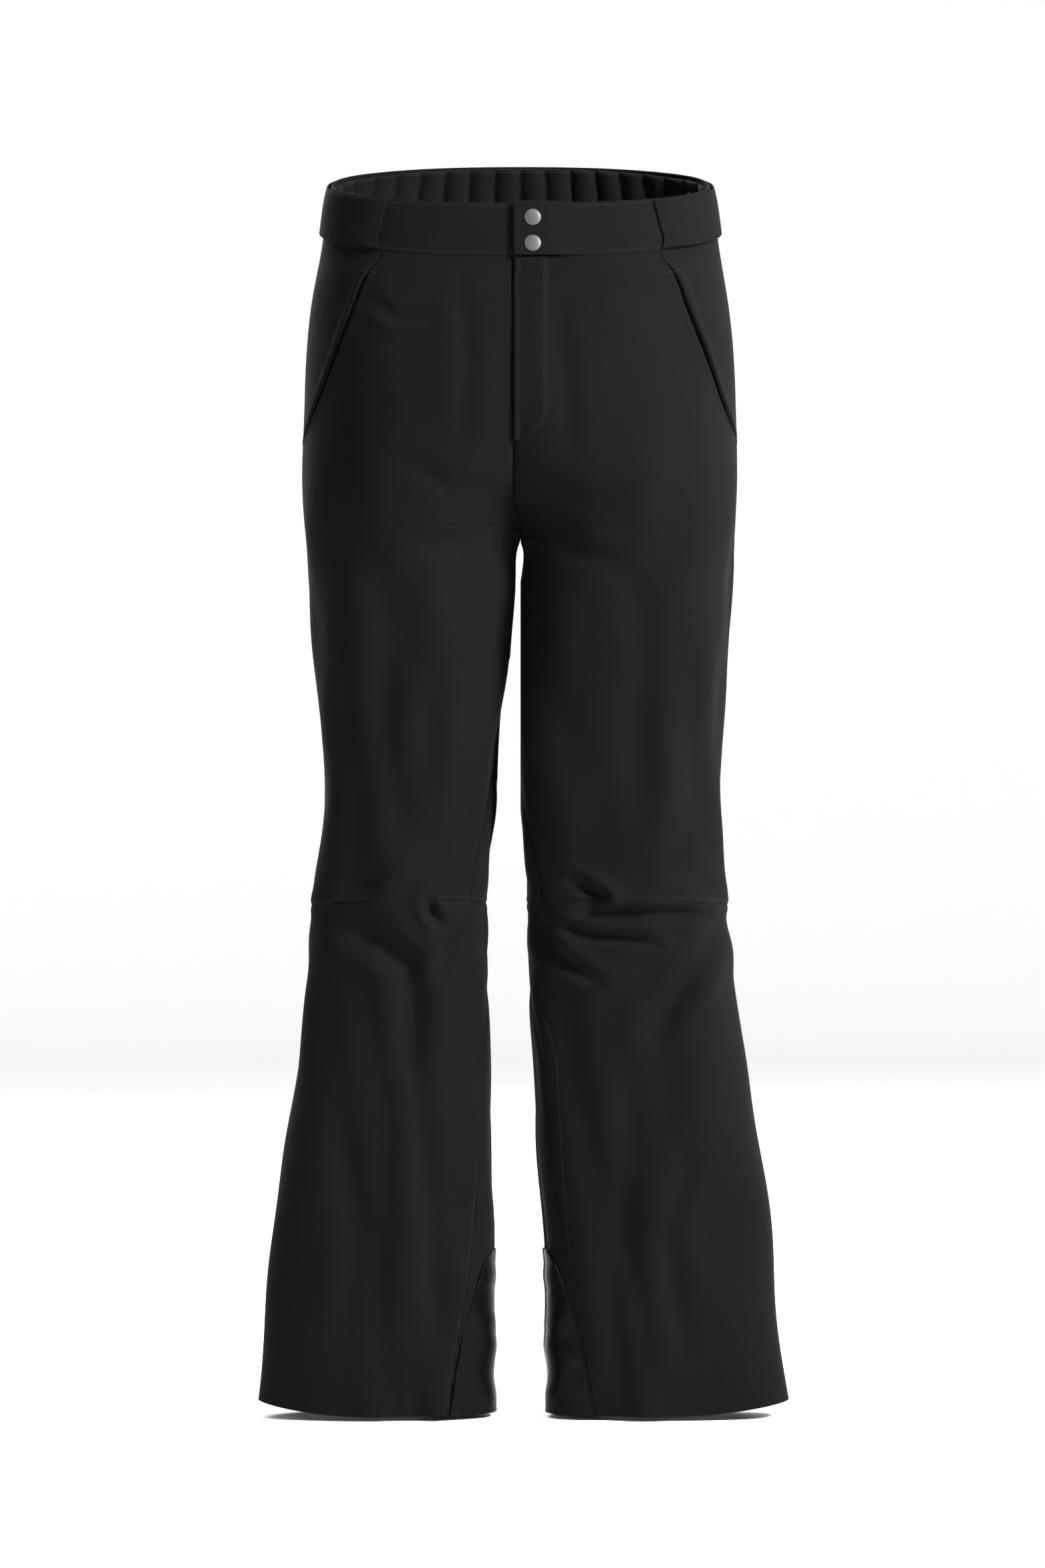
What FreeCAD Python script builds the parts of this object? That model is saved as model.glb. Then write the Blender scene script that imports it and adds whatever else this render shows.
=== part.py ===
import FreeCAD, Part
import math
import os

import Sketcher
from FreeCAD import Matrix, Placement, Vector

# Ski pants as an assembly of cut panels, closures and linings, in millimetres.
# The origin is the centre of the waist opening, level with its two sides. +Z points up, +X to the
# wearer's left and -Y to the front. Heights are stored as drops below the waist.
# Left-hand cloth pieces are made first and mirrored for the right.

# Levels of one leg from above the waist to below the hem: drop below the waist, outer edge, inner
# edge (negative where the two sides run into each other), half depth, and shift to the back.
LEVELS = {
    "overtop": (-60.0, 160.0, -160.0, 70.0, 0.0),
    "waist": (0.0, 166.0, -166.0, 76.0, 0.0),
    "waistseam": (45.0, 174.0, -174.0, 84.0, 0.0),
    "yoke": (75.0, 178.5, -178.5, 91.0, 2.0),
    "highhip": (110.0, 184.5, -168.0, 100.0, 5.0),
    "hip": (156.0, 189.5, -143.0, 108.0, 9.0),
    "seat": (203.0, 191.5, -103.0, 112.0, 12.0),
    "lowseat": (250.0, 193.0, -59.0, 110.0, 12.0),
    "crotch": (307.0, 191.0, 0.5, 96.0, 9.0),
    "upperthigh": (345.0, 187.6, 5.0, 87.0, 6.0),
    "midthigh": (392.0, 184.7, 9.5, 80.0, 4.0),
    "lowthigh": (463.0, 178.5, 13.0, 72.0, 2.0),
    "overknee": (540.0, 174.6, 18.0, 65.0, 0.0),
    "knee": (628.0, 180.0, 24.8, 60.0, -1.0),
    "underknee": (699.0, 187.6, 24.8, 58.0, 0.0),
    "calf": (793.0, 201.0, 24.0, 54.0, 1.0),
    "ankle": (935.0, 220.0, 24.0, 50.0, 2.0),
    "hem": (1087.0, 235.0, 24.0, 47.0, 2.0),
    "underhem": (1112.0, 238.0, 24.0, 46.5, 2.0),
}
LEVEL_COLUMNS = ("drop", "outer", "inner", "depth", "shift")

SIZES = {
    # shell cloth and the layers of cloth over and under it
    "roundness": 2.3,
    "cloth": 1.5,
    "layer_gap": 0.3,
    "side_seam_y": 4.0,
    "waist_slope": 0.31,
    "band_height": 45.0,
    "band_proud": 0.6,
    "band_inside": 1.8,
    "band_split_y": -20.0,
    # hip and knee bends
    "hip_axis_drop": 300.0,
    "groin_rise": 25.0,
    "groin_fall": 70.0,
    "knee_axis_drop": 633.0,
    "knee_reach": 47.0,
    # fly
    "fly_edge": 6.0,
    "fly_width": 30.5,
    "fly_drop": 232.0,
    "fly_turn": 28.0,
    "fly_flap_cloth": 1.5,
    "fly_underlap": 3.0,
    "fly_zip_shift": 3.0,
    "fly_zip_top": 74.0,
    "fly_zip_foot": 229.0,
    "fly_zip_top_y": -83.0,
    "fly_zip_foot_y": -85.5,
    "fly_shield_width": 44.0,
    "fly_shield_length": 178.0,
    "fly_shield_cloth": 0.8,
    "fly_shield_back": 3.0,
    # zips
    "tape_width": 12.0,
    "tape_cloth": 0.6,
    "coil_width": 1.1,
    "coil_lane": 2.0,
    "coil_depth": 1.6,
    "slider_width": 8.0,
    "slider_length": 10.0,
    "slider_plate": 0.9,
    "slider_gap": 1.9,
    "slider_crown": 2.2,
    "wedge_width": 1.4,
    "wedge_length": 1.6,
    "bridge_length": 5.0,
    "bridge_width": 1.6,
    "bridge_leg": 0.8,
    "bridge_bar": 0.7,
    "slider_stop": 2.0,
    "pull_width": 5.0,
    "pull_bar": 0.8,
    "pull_slot": 2.2,
    "pull_length": 16.0,
    "pull_cloth": 0.8,
    "pull_eye": 3.4,
    # waist closure and its press studs
    "closure_gap": 3.0,
    "closure_cloth": 1.8,
    "snap_high": 14.5,
    "snap_low": 36.5,
    "snap_x": 10.6,
    "cap_radius": 7.3,
    "cap_rise": 1.9,
    "cap_edge": 0.9,
    "shank_radius": 2.2,
    "shank_hole": 2.4,
    "socket_radius": 5.6,
    "socket_bore": 2.75,
    "socket_height": 1.9,
    "stud_flange": 5.2,
    "stud_foot": 0.5,
    "stud_ball": 2.4,
    "stud_neck": 1.9,
    "stud_height": 2.2,
    "post_radius": 5.0,
    "post_height": 0.8,
    # side tabs
    "tab_gap": 2.4,
    "tab_cloth": 1.6,
    "tab_top_inset": 3.0,
    "tab_foot_inset": 2.0,
    "tab_seam_top": 113.0,
    "tab_seam_foot": 130.0,
    "tab_end_y": 54.0,
    "hook_gap": 1.8,
    "hook_cloth": 0.5,
    "hook_start_y": 30.0,
    "loop_gap": 0.9,
    "loop_cloth": 0.6,
    "loop_start_y": 8.0,
    "loop_end_y": 64.0,
    # back waist
    "elastic_gap": 2.1,
    "elastic_cloth": 1.0,
    "quilt_gap": 3.5,
    "quilt_cloth": 6.0,
    "quilt_drop": 58.0,
    "quilt_start_y": -4.0,
    # pockets
    "pocket_top_x": 132.0,
    "pocket_top_drop": 84.0,
    "pocket_foot_x": 190.0,
    "pocket_foot_drop": 226.0,
    "pocket_slit": 1.6,
    "pocket_zip_inset": 7.0,
    "pocket_zip_end_gap": 8.0,
    "bag_gap": 6.5,
    "bag_cloth": 2.2,
    "bag_inset": 18.0,
    "bag_inner_x": 70.0,
    "bag_foot_drop": 262.0,
    # inner leg, hem guard, gaiter
    "inner_seam_top_drop": 712.0,
    "inner_seam_hem_x": 68.0,
    "guard_gap": 0.3,
    "guard_cloth": 1.0,
    "guard_top_drop": 940.0,
    "guard_hem_x": 65.0,
    "gaiter_top_drop": 850.0,
    "gaiter_foot_drop": 1045.0,
    "gaiter_inset": 2.6,
    "gaiter_cloth": 0.8,
    "gaiter_x": 127.5,
    "gaiter_half_width": 62.0,
    "gaiter_half_depth": 38.0,
    "elastic_height": 22.0,
    "elastic_wall": 1.4,
    "facing_height": 18.0,
    "facing_cloth": 1.0,
    # loops and label inside the waist
    "hanger_length": 70.0,
    "hanger_width": 8.0,
    "hanger_cloth": 1.0,
    "hanger_x": 149.0,
    "hanger_drop": 8.0,
    "label_y": 60.0,
    "label_drop": 30.0,
    "label_width": 30.0,
    "label_length": 55.0,
    "label_cloth": 0.5,
}

doc = FreeCAD.newDocument("ski_pants")
sheet = doc.addObject("Spreadsheet::Sheet", "Sizes")


def fill_sheet():
    rows = dict(SIZES)
    for level, values in LEVELS.items():
        for column, value in zip(LEVEL_COLUMNS, values):
            rows[f"{level}_{column}"] = value
    for number, (alias, value) in enumerate(rows.items(), start=1):
        sheet.set(f"A{number}", alias)
        sheet.set(f"B{number}", str(value))
        sheet.setAlias(f"B{number}", alias)
    doc.recompute()


def size(alias):
    return float(sheet.get(alias))


def cell(alias):
    return f"Sizes.{alias}"


# ---------------------------------------------------------------- cloth

RING_POINTS = 28


def level_ring(level, offset):
    """The closed outline of one leg at a level, moved outwards by offset."""
    drop, outer, inner, depth, shift = (size(f"{level}_{c}") for c in LEVEL_COLUMNS)
    half = (outer - inner) / 2 + offset
    deep = depth + offset
    middle = (outer + inner) / 2
    power = 2 / size("roundness")
    points = []
    for step in range(RING_POINTS):
        turn = 2 * math.pi * step / RING_POINTS
        c, s = math.cos(turn), math.sin(turn)
        x = middle + half * math.copysign(abs(c) ** power, c)
        y = shift + deep * math.copysign(abs(s) ** power, s)
        points.append(Vector(x, y, -drop))
    even = [step / RING_POINTS for step in range(RING_POINTS + 1)]
    curve = Part.BSplineCurve()
    curve.interpolate(Points=points, PeriodicFlag=True, Parameters=even)
    return Part.Wire(curve.toShape())


forms = {}


def leg_form(offset):
    """One leg from above the waist to below the hem, filled, with its surface moved by offset."""
    if offset not in forms:
        rings = [level_ring(level, offset) for level in LEVELS]
        forms[offset] = Part.makeLoft(rings, True, False)
    return forms[offset]


def layer(inside, outside, *regions):
    """Cloth between two offsets from the shell's outer face, inside every region."""
    shape = leg_form(outside)
    for region in regions:
        shape = shape.common(region)
    return shape.cut(leg_form(inside))


FAR = 400.0


def prism_front_view(points, low_y=-FAR, high_y=FAR):
    """A prism whose outline is seen from the front: points are (x, z)."""
    corners = [Vector(x, low_y, z) for x, z in points]
    face = Part.Face(Part.makePolygon(corners + corners[:1]))
    return face.extrude(Vector(0, high_y - low_y, 0))


def prism_side_view(points, low_x=0.0, high_x=FAR):
    """A prism whose outline is seen from the side: points are (y, z)."""
    corners = [Vector(low_x, y, z) for y, z in points]
    face = Part.Face(Part.makePolygon(corners + corners[:1]))
    return face.extrude(Vector(high_x - low_x, 0, 0))


def slab(high_drop, low_drop, low_y=-FAR, high_y=FAR, low_x=0.0):
    """A box between two drops below the waist, on the left-hand side."""
    corner = Vector(low_x, low_y, -low_drop)
    return Part.makeBox(FAR - low_x, high_y - low_y, low_drop - high_drop, corner)


def waist_slab(high, low, low_y=-FAR, high_y=FAR, low_x=0.0):
    """A region between two planes parallel to the sloping waist, high and low below it."""
    slope = size("waist_slope")
    points = [
        (low_y, slope * low_y - high),
        (high_y, slope * high_y - high),
        (high_y, slope * high_y - low),
        (low_y, slope * low_y - low),
    ]
    return prism_side_view(points, low_x)


def below_waist_seam(low_drop, low_y=-FAR, high_y=FAR, low_x=0.0):
    """Everything from the waist seam down to a drop."""
    slope, band = size("waist_slope"), size("band_height")
    points = [
        (low_y, slope * low_y - band),
        (high_y, slope * high_y - band),
        (high_y, -low_drop),
        (low_y, -low_drop),
    ]
    return prism_side_view(points, low_x)


def mirrored(shape):
    return shape.mirror(Vector(0, 0, 0), Vector(1, 0, 0))


parts = []


def keep(label, shape):
    """Stores a cloth piece whose shape is computed as a sub-part of the document."""
    piece = doc.addObject("Part::Feature", label)
    piece.Label = label
    solids = shape.Solids
    piece.Shape = solids[0] if len(solids) == 1 else Part.makeCompound(solids)
    parts.append(piece)
    return piece


def keep_pair(name, left_shape):
    keep(f"left_{name}", left_shape)
    keep(f"right_{name}", mirrored(left_shape))


def pocket_line(shift):
    """The pocket's edge in front view from the waist seam to the foot of the hip, moved by shift."""
    top = (size("pocket_top_x"), -size("pocket_top_drop"))
    foot = (size("pocket_foot_x"), -size("pocket_foot_drop"))
    above = (top[0] - 5.0, 0.0)
    below = (foot[0] + 1.0, -size("hip_axis_drop") - 10.0)
    return [above, top, (top[0] + shift, top[1] - 2.0), (foot[0] + shift, foot[1] + 2.0), foot, below]


def fly_region():
    """The fly flap in front view: straight edge, stitched edge and its turn at the foot."""
    edge = -size("fly_edge")
    stitch = edge + size("fly_width")
    turn, foot = size("fly_turn"), -size("fly_drop")
    centre = Vector(stitch - turn, -FAR, foot + turn)
    arc_middle = centre + Vector(turn * math.cos(math.pi / 4), 0, -turn * math.sin(math.pi / 4))
    corners = [
        Vector(centre.x, -FAR, foot),
        Vector(edge, -FAR, foot),
        Vector(edge, -FAR, 0),
        Vector(stitch, -FAR, 0),
        Vector(stitch, -FAR, centre.z),
    ]
    edges = [Part.LineSegment(a, b).toShape() for a, b in zip(corners, corners[1:])]
    edges.append(Part.Arc(corners[-1], arc_middle, corners[0]).toShape())
    return Part.Face(Part.Wire(edges)).extrude(Vector(0, FAR, 0))


def hip_panels():
    """Front, side and back panels of the hips, down to the groin."""
    cloth, seam = size("cloth"), size("side_seam_y")
    foot = size("hip_axis_drop") - size("groin_rise")
    whole = layer(-cloth, 0.0, below_waist_seam(foot))
    front = whole.common(slab(-FAR / 2, foot, high_y=seam))
    side_outline = pocket_line(size("pocket_slit")) + [(FAR, -FAR), (FAR, 0.0)]
    front_outline = pocket_line(0.0) + [(-FAR, -size("hip_axis_drop") - 10.0), (-FAR, 0.0)]
    side = front.common(prism_front_view(side_outline, high_y=seam))
    front = front.common(prism_front_view(front_outline, high_y=seam))
    keep_pair("back_hip_panel", whole.common(slab(-FAR / 2, foot, low_y=seam)))
    keep_pair("side_hip_panel", side)
    fly = fly_region()
    keep("left_front_hip_panel", front.cut(fly))
    drop = size("fly_drop")
    underlap = Part.makeBox(size("fly_underlap"), FAR, drop, Vector(0, -FAR, -drop))
    extra = layer(-cloth, 0.0, below_waist_seam(drop, high_y=0.0), underlap)
    keep("right_front_hip_panel", mirrored(front).fuse(extra).removeSplitter())
    flap = leg_layer_across(size("layer_gap") + 0.1, size("fly_flap_cloth"), fly, below_waist_seam)
    keep("fly_flap", flap)


def leg_layer_across(gap, cloth, outline, region):
    """A layer that runs over the centre line: the left and right halves joined."""
    foot = size("fly_drop")
    left = layer(gap, gap + cloth, region(foot, high_y=0.0), outline)
    right = mirrored(layer(gap, gap + cloth, region(foot, high_y=0.0), mirrored(outline)))
    return left.fuse(right).removeSplitter()


def leg_panels():
    """Groin, thigh, knee and shin: the groin and knee sections give where the legs bend."""
    cloth, seam = size("cloth"), size("side_seam_y")
    hip, knee = size("hip_axis_drop"), size("knee_axis_drop")
    groin_top, thigh_top = hip - size("groin_rise"), hip + size("groin_fall")
    knee_top, shin_top = knee - size("knee_reach"), knee + size("knee_reach")
    hem = size("hem_drop")
    keep_pair("groin_section", layer(-cloth, 0.0, slab(groin_top, thigh_top)))
    keep_pair("front_thigh_panel", layer(-cloth, 0.0, slab(thigh_top, knee_top, high_y=seam)))
    keep_pair("back_thigh_panel", layer(-cloth, 0.0, slab(thigh_top, knee_top, low_y=seam)))
    keep_pair("knee_section", layer(-cloth, 0.0, slab(knee_top, shin_top)))
    top, foot = -size("inner_seam_top_drop"), -hem - 5.0
    hem_x = size("inner_seam_hem_x")
    inner_outline = [
        (0.0, top + 12.0),
        (size("underknee_inner"), top),
        (0.54 * hem_x, -size("calf_drop") - 45.0),
        (0.73 * hem_x, -size("ankle_drop") - 25.0),
        (hem_x, foot),
        (0.0, foot),
    ]
    inner = prism_front_view(inner_outline)
    keep_pair("inner_shin_panel", layer(-cloth, 0.0, slab(shin_top, hem), inner))
    keep_pair("front_shin_panel", layer(-cloth, 0.0, slab(shin_top, hem, high_y=seam)).cut(inner))
    keep_pair("back_shin_panel", layer(-cloth, 0.0, slab(shin_top, hem, low_y=seam)).cut(inner))
    guard_x, guard_top = size("guard_hem_x"), -size("guard_top_drop")
    guard_outline = [
        (0.0, guard_top + 20.0),
        (size("hem_inner"), guard_top),
        (0.65 * guard_x, guard_top - 42.0),
        (guard_x, -hem),
        (0.0, -hem),
    ]
    gap = size("guard_gap")
    region = prism_front_view(guard_outline)
    guard = layer(gap, gap + size("guard_cloth"), slab(size("calf_drop"), hem), region)
    keep_pair("hem_guard", guard)


def waistband():
    """The waistband's front and back parts, the elastic and the quilted lining behind it."""
    inside, proud = -size("band_inside"), size("band_proud")
    band, split = size("band_height"), size("band_split_y")
    front_band = layer(inside, proud, waist_slab(0.0, band, high_y=split))
    start = size("fly_width") - size("fly_edge")
    past_fly = Part.makeBox(FAR, FAR, FAR, Vector(start, -FAR, -FAR / 2))
    keep("left_front_waistband", front_band.common(past_fly))
    under = layer(inside, proud, waist_slab(0.0, band, high_y=0.0))
    under = under.common(Part.makeBox(start - 1.0, FAR, FAR, Vector(0, -FAR, -FAR / 2)))
    right = mirrored(front_band).fuse(under).removeSplitter()
    keep("right_front_waistband", right.cut(snap_holes(inside - 4.0, proud + 4.0)))
    back = layer(inside, proud, waist_slab(0.0, band, low_y=split))
    keep("back_waistband", back.fuse(mirrored(back)).removeSplitter())
    elastic, start_y = size("elastic_gap"), size("quilt_start_y")
    strip = layer(-elastic - size("elastic_cloth"), -elastic, waist_slab(4.0, band - 4.0, low_y=start_y))
    keep("waist_elastic", strip.fuse(mirrored(strip)).removeSplitter())
    quilt = size("quilt_gap")
    pad = layer(-quilt - size("quilt_cloth"), -quilt, waist_slab(2.0, size("quilt_drop"), low_y=start_y))
    keep("back_quilted_lining", pad.fuse(mirrored(pad)).removeSplitter())


def closure():
    """The waistband's overlapping end, which carries the press studs' caps."""
    gap = size("band_proud") + size("closure_gap")
    edge, width, band = size("fly_edge"), size("fly_width"), size("band_height")
    region = Part.makeBox(width, FAR, FAR, Vector(-edge, -FAR, -FAR / 2))
    front, face = waist_slab(0.0, band, high_y=0.0), gap + size("closure_cloth")
    left = layer(gap, face, front, region)
    right = mirrored(layer(gap, face, front, mirrored(region)))
    flap = left.fuse(right).removeSplitter()
    keep("closure_flap", flap.cut(snap_holes(gap - 4.0, gap + 8.0)))


def side_tabs():
    """The side tabs and the hook and loop patches that hold them."""
    top, foot = size("tab_top_inset"), size("band_height") - size("tab_foot_inset")
    seam_top, seam_foot = size("tab_seam_top"), size("tab_seam_foot")
    below_band = -size("band_height") - 22.0
    front_outline = [(seam_top - 2.0, 10.0), (seam_foot, below_band), (FAR, -FAR / 2), (FAR, 10.0)]
    front = prism_front_view(front_outline, high_y=0.0)
    rear = Part.makeBox(FAR, size("tab_end_y"), FAR, Vector(0, 0, -FAR / 2))
    region = front.fuse(rear)
    gap = size("tab_gap")
    keep_pair("waist_tab", layer(gap, gap + size("tab_cloth"), waist_slab(top, foot), region))
    hook = waist_slab(top + 4.0, foot - 4.0, low_y=size("hook_start_y"), high_y=size("tab_end_y") - 3.0)
    keep_pair("tab_hook_patch", layer(size("hook_gap"), size("hook_gap") + size("hook_cloth"), hook))
    loop = waist_slab(top + 1.0, foot - 1.0, low_y=size("loop_start_y"), high_y=size("loop_end_y"))
    keep_pair("tab_loop_patch", layer(size("loop_gap"), size("loop_gap") + size("loop_cloth"), loop))


def pocket_bags():
    line = pocket_line(0.0)
    inset = size("bag_inset")
    outline = [
        (size("bag_inner_x"), -size("pocket_top_drop") + 14.0),
        (line[1][0] - inset, line[1][1] + 14.0),
        (line[4][0] - 2 * inset, line[4][1]),
        (line[4][0] - 3 * inset, -size("bag_foot_drop")),
        (size("bag_inner_x"), -size("bag_foot_drop")),
    ]
    gap = size("bag_gap")
    bag = layer(-gap - size("bag_cloth"), -gap, prism_front_view(outline, high_y=0.0))
    keep_pair("pocket_bag", bag)


def gaiters():
    """The snow gaiter inside each shin: a sleeve that narrows to an elastic ring."""
    top, foot = size("gaiter_top_drop"), size("gaiter_foot_drop")
    share = (top - size("calf_drop")) / (size("ankle_drop") - size("calf_drop"))

    def at_top(column):
        return size(f"calf_{column}") * (1 - share) + size(f"ankle_{column}") * share

    def ring(drop, x, y, half_width, half_depth):
        ellipse = Part.Ellipse(Vector(x, y, -drop), half_width, half_depth)
        return Part.Wire(ellipse.toShape())

    def sleeve(inset):
        wide = (at_top("outer") - at_top("inner")) / 2 - size("gaiter_inset") - inset
        deep = at_top("depth") - size("gaiter_inset") - inset
        upper = ring(top, (at_top("outer") + at_top("inner")) / 2, at_top("shift"), wide, deep)
        lower = ring(
            foot,
            size("gaiter_x"),
            size("hem_shift"),
            size("gaiter_half_width") - inset,
            size("gaiter_half_depth") - inset,
        )
        return Part.makeLoft([upper, lower], True, True)

    keep_pair("boot_gaiter", sleeve(0.0).cut(sleeve(size("gaiter_cloth"))))
    wall, ring_top = size("elastic_wall"), foot + size("layer_gap")
    bands = []
    for inset in (0.0, wall):
        half_width, half_depth = size("gaiter_half_width") - inset, size("gaiter_half_depth") - inset
        outline = ring(ring_top, size("gaiter_x"), size("hem_shift"), half_width, half_depth)
        bands.append(Part.Face(outline).extrude(Vector(0, 0, -size("elastic_height"))))
    keep_pair("gaiter_elastic", bands[0].cut(bands[1]))
    inside = -size("cloth") - size("layer_gap")
    hem = size("hem_drop")
    facing = layer(inside - size("facing_cloth"), inside, slab(hem - size("facing_height"), hem))
    keep_pair("hem_facing", facing)


# ---------------------------------------------------------------- parametric hardware


def origin_plane(body, role):
    return next(f for f in body.Origin.OriginFeatures if f.Role == role)


def new_body(label):
    body = doc.addObject("PartDesign::Body", label)
    body.Label = label
    parts.append(body)
    return body


def new_sketch(body, name, role="XY_Plane"):
    sketch = body.newObject("Sketcher::SketchObject", name)
    sketch.AttachmentSupport = [(origin_plane(body, role), "")]
    sketch.MapMode = "FlatFace"
    return sketch


def bind(sketch, constraint, name, expression):
    index = sketch.addConstraint(constraint)
    sketch.renameConstraint(index, name)
    sketch.setExpression(f"Constraints.{name}", expression)


def add_rectangle(sketch, width, height, tag="", x_shift=None, y_shift=None):
    """A rectangle centred on the origin, or on the two given shifts, sized by expressions."""
    corners = [Vector(-1, -1, 0), Vector(1, -1, 0), Vector(1, 1, 0), Vector(-1, 1, 0)]
    first = sketch.GeometryCount
    for a, b in zip(corners, corners[1:] + corners[:1]):
        sketch.addGeometry(Part.LineSegment(a, b), False)
    for k in range(4):
        sketch.addConstraint(Sketcher.Constraint("Coincident", first + k, 2, first + (k + 1) % 4, 1))
    for k, kind in enumerate(("Horizontal", "Vertical", "Horizontal", "Vertical")):
        sketch.addConstraint(Sketcher.Constraint(kind, first + k))
    bind(sketch, Sketcher.Constraint("DistanceX", first, 1, first, 2, 2.0), f"wide{tag}", width)
    bind(sketch, Sketcher.Constraint("DistanceY", first + 1, 1, first + 1, 2, 2.0), f"tall{tag}", height)
    if x_shift is None and y_shift is None:
        sketch.addConstraint(Sketcher.Constraint("Symmetric", first, 1, first + 1, 2, -1, 1))
        return
    left = f"({width}) / 2 - ({x_shift or '0'})"
    low = f"({height}) / 2 - ({y_shift or '0'})"
    bind(sketch, Sketcher.Constraint("DistanceX", first, 1, -1, 1, 1.0), f"left{tag}", left)
    bind(sketch, Sketcher.Constraint("DistanceY", first, 1, -1, 1, 1.0), f"low{tag}", low)


def add_pad(body, sketch, name, length, symmetric=True):
    pad = body.newObject("PartDesign::Pad", name)
    pad.Profile = sketch
    pad.setExpression("Length", length)
    pad.Midplane = symmetric
    sketch.Visibility = False
    return pad


def revolve_profile(body, points):
    """A body turned about its Z axis from a closed profile of (radius, height) expressions."""
    sketch = new_sketch(body, "Profile", "XZ_Plane")
    values = [(float(doc_value(r)), float(doc_value(z))) for r, z in points]
    count = len(points)
    for k in range(count):
        a, b = values[k], values[(k + 1) % count]
        sketch.addGeometry(Part.LineSegment(Vector(a[0], a[1], 0), Vector(b[0], b[1], 0)), False)
    for k in range(count):
        sketch.addConstraint(Sketcher.Constraint("Coincident", k, 2, (k + 1) % count, 1))
    for k, (radius, height) in enumerate(points):
        r, z = values[k]
        if r == 0:
            sketch.addConstraint(Sketcher.Constraint("PointOnObject", k, 1, -2))
        else:
            bind(sketch, Sketcher.Constraint("DistanceX", -1, 1, k, 1, r), f"radius{k}", radius)
        if z == 0:
            sketch.addConstraint(Sketcher.Constraint("PointOnObject", k, 1, -1))
        else:
            bind(sketch, Sketcher.Constraint("DistanceY", -1, 1, k, 1, z), f"height{k}", height)
    turn = body.newObject("PartDesign::Revolution", "Turn")
    turn.Profile = sketch
    turn.ReferenceAxis = (sketch, ["V_Axis"])
    turn.Angle = 360
    sketch.Visibility = False
    return turn


def doc_value(expression):
    """The number that an expression in the sheet's cells gives."""
    return sheet.evalExpression(expression)


def put(obj, position, x, y, z):
    """Puts an object at a position, with its own axes along x, y and z."""
    rows = [(x[k], y[k], z[k], position[k]) for k in range(3)]
    obj.Placement = Placement(Matrix(*rows[0], *rows[1], *rows[2], 0, 0, 0, 1))


def point_along(obj, position, direction):
    """Puts an object so that its Z axis points exactly along direction."""
    z = Vector(direction).normalize()
    x = Vector(0, 0, 1).cross(z).normalize()
    put(obj, position, x, z.cross(x), z)


def front_point(x, z, offset=0.0):
    """The point of the shell's front at x and z, and the outward direction there."""
    form = leg_form(offset)
    ray = Part.LineSegment(Vector(abs(x), -FAR, z), Vector(abs(x), 0, z)).toShape()
    hit = min((v.Point for v in form.common(ray).Vertexes), key=lambda p: p.y)
    face = form.Faces[0]
    for candidate in form.Faces:
        if candidate.distToShape(Part.Vertex(hit))[0] < 1e-4:
            face = candidate
    u, v = face.Surface.parameter(hit)
    normal = face.normalAt(u, v)
    if normal.y > 0:
        normal = normal.negative()
    if x < 0:
        hit, normal = Vector(-hit.x, hit.y, hit.z), Vector(-normal.x, normal.y, normal.z)
    return hit, normal


def snap_places():
    """Where the two press studs sit on the waistband's outer face, and which way they point."""
    slope = size("waist_slope")
    places = []
    for drop in ("snap_high", "snap_low"):
        z = -size(drop)
        near = front_point(size("snap_x"), z)[0]
        point, normal = front_point(size("snap_x"), z + slope * near.y, size("band_proud"))
        places.append((point, normal))
    return places


def snap_holes(low, high):
    """Holes for both press studs' shanks, from low to high outside the shell's face."""
    holes = []
    for point, normal in snap_places():
        start = point + normal * (low - size("band_proud"))
        holes.append(Part.makeCylinder(size("shank_hole"), high - low, start, normal))
    return Part.makeCompound(holes)


def turned_pair(label, points, lift):
    """Two equal turned pieces, one on each press stud's axis, lifted off the waistband's face."""
    first = doc.addObject("PartDesign::Body", f"{label}_upper")
    revolve_profile(first, points)
    doc.recompute()
    solids = []
    for point, normal in snap_places():
        point_along(first, point + normal * lift, normal)
        doc.recompute()
        solids.append(first.Shape.copy())
    keep(label, Part.makeCompound(solids))


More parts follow.
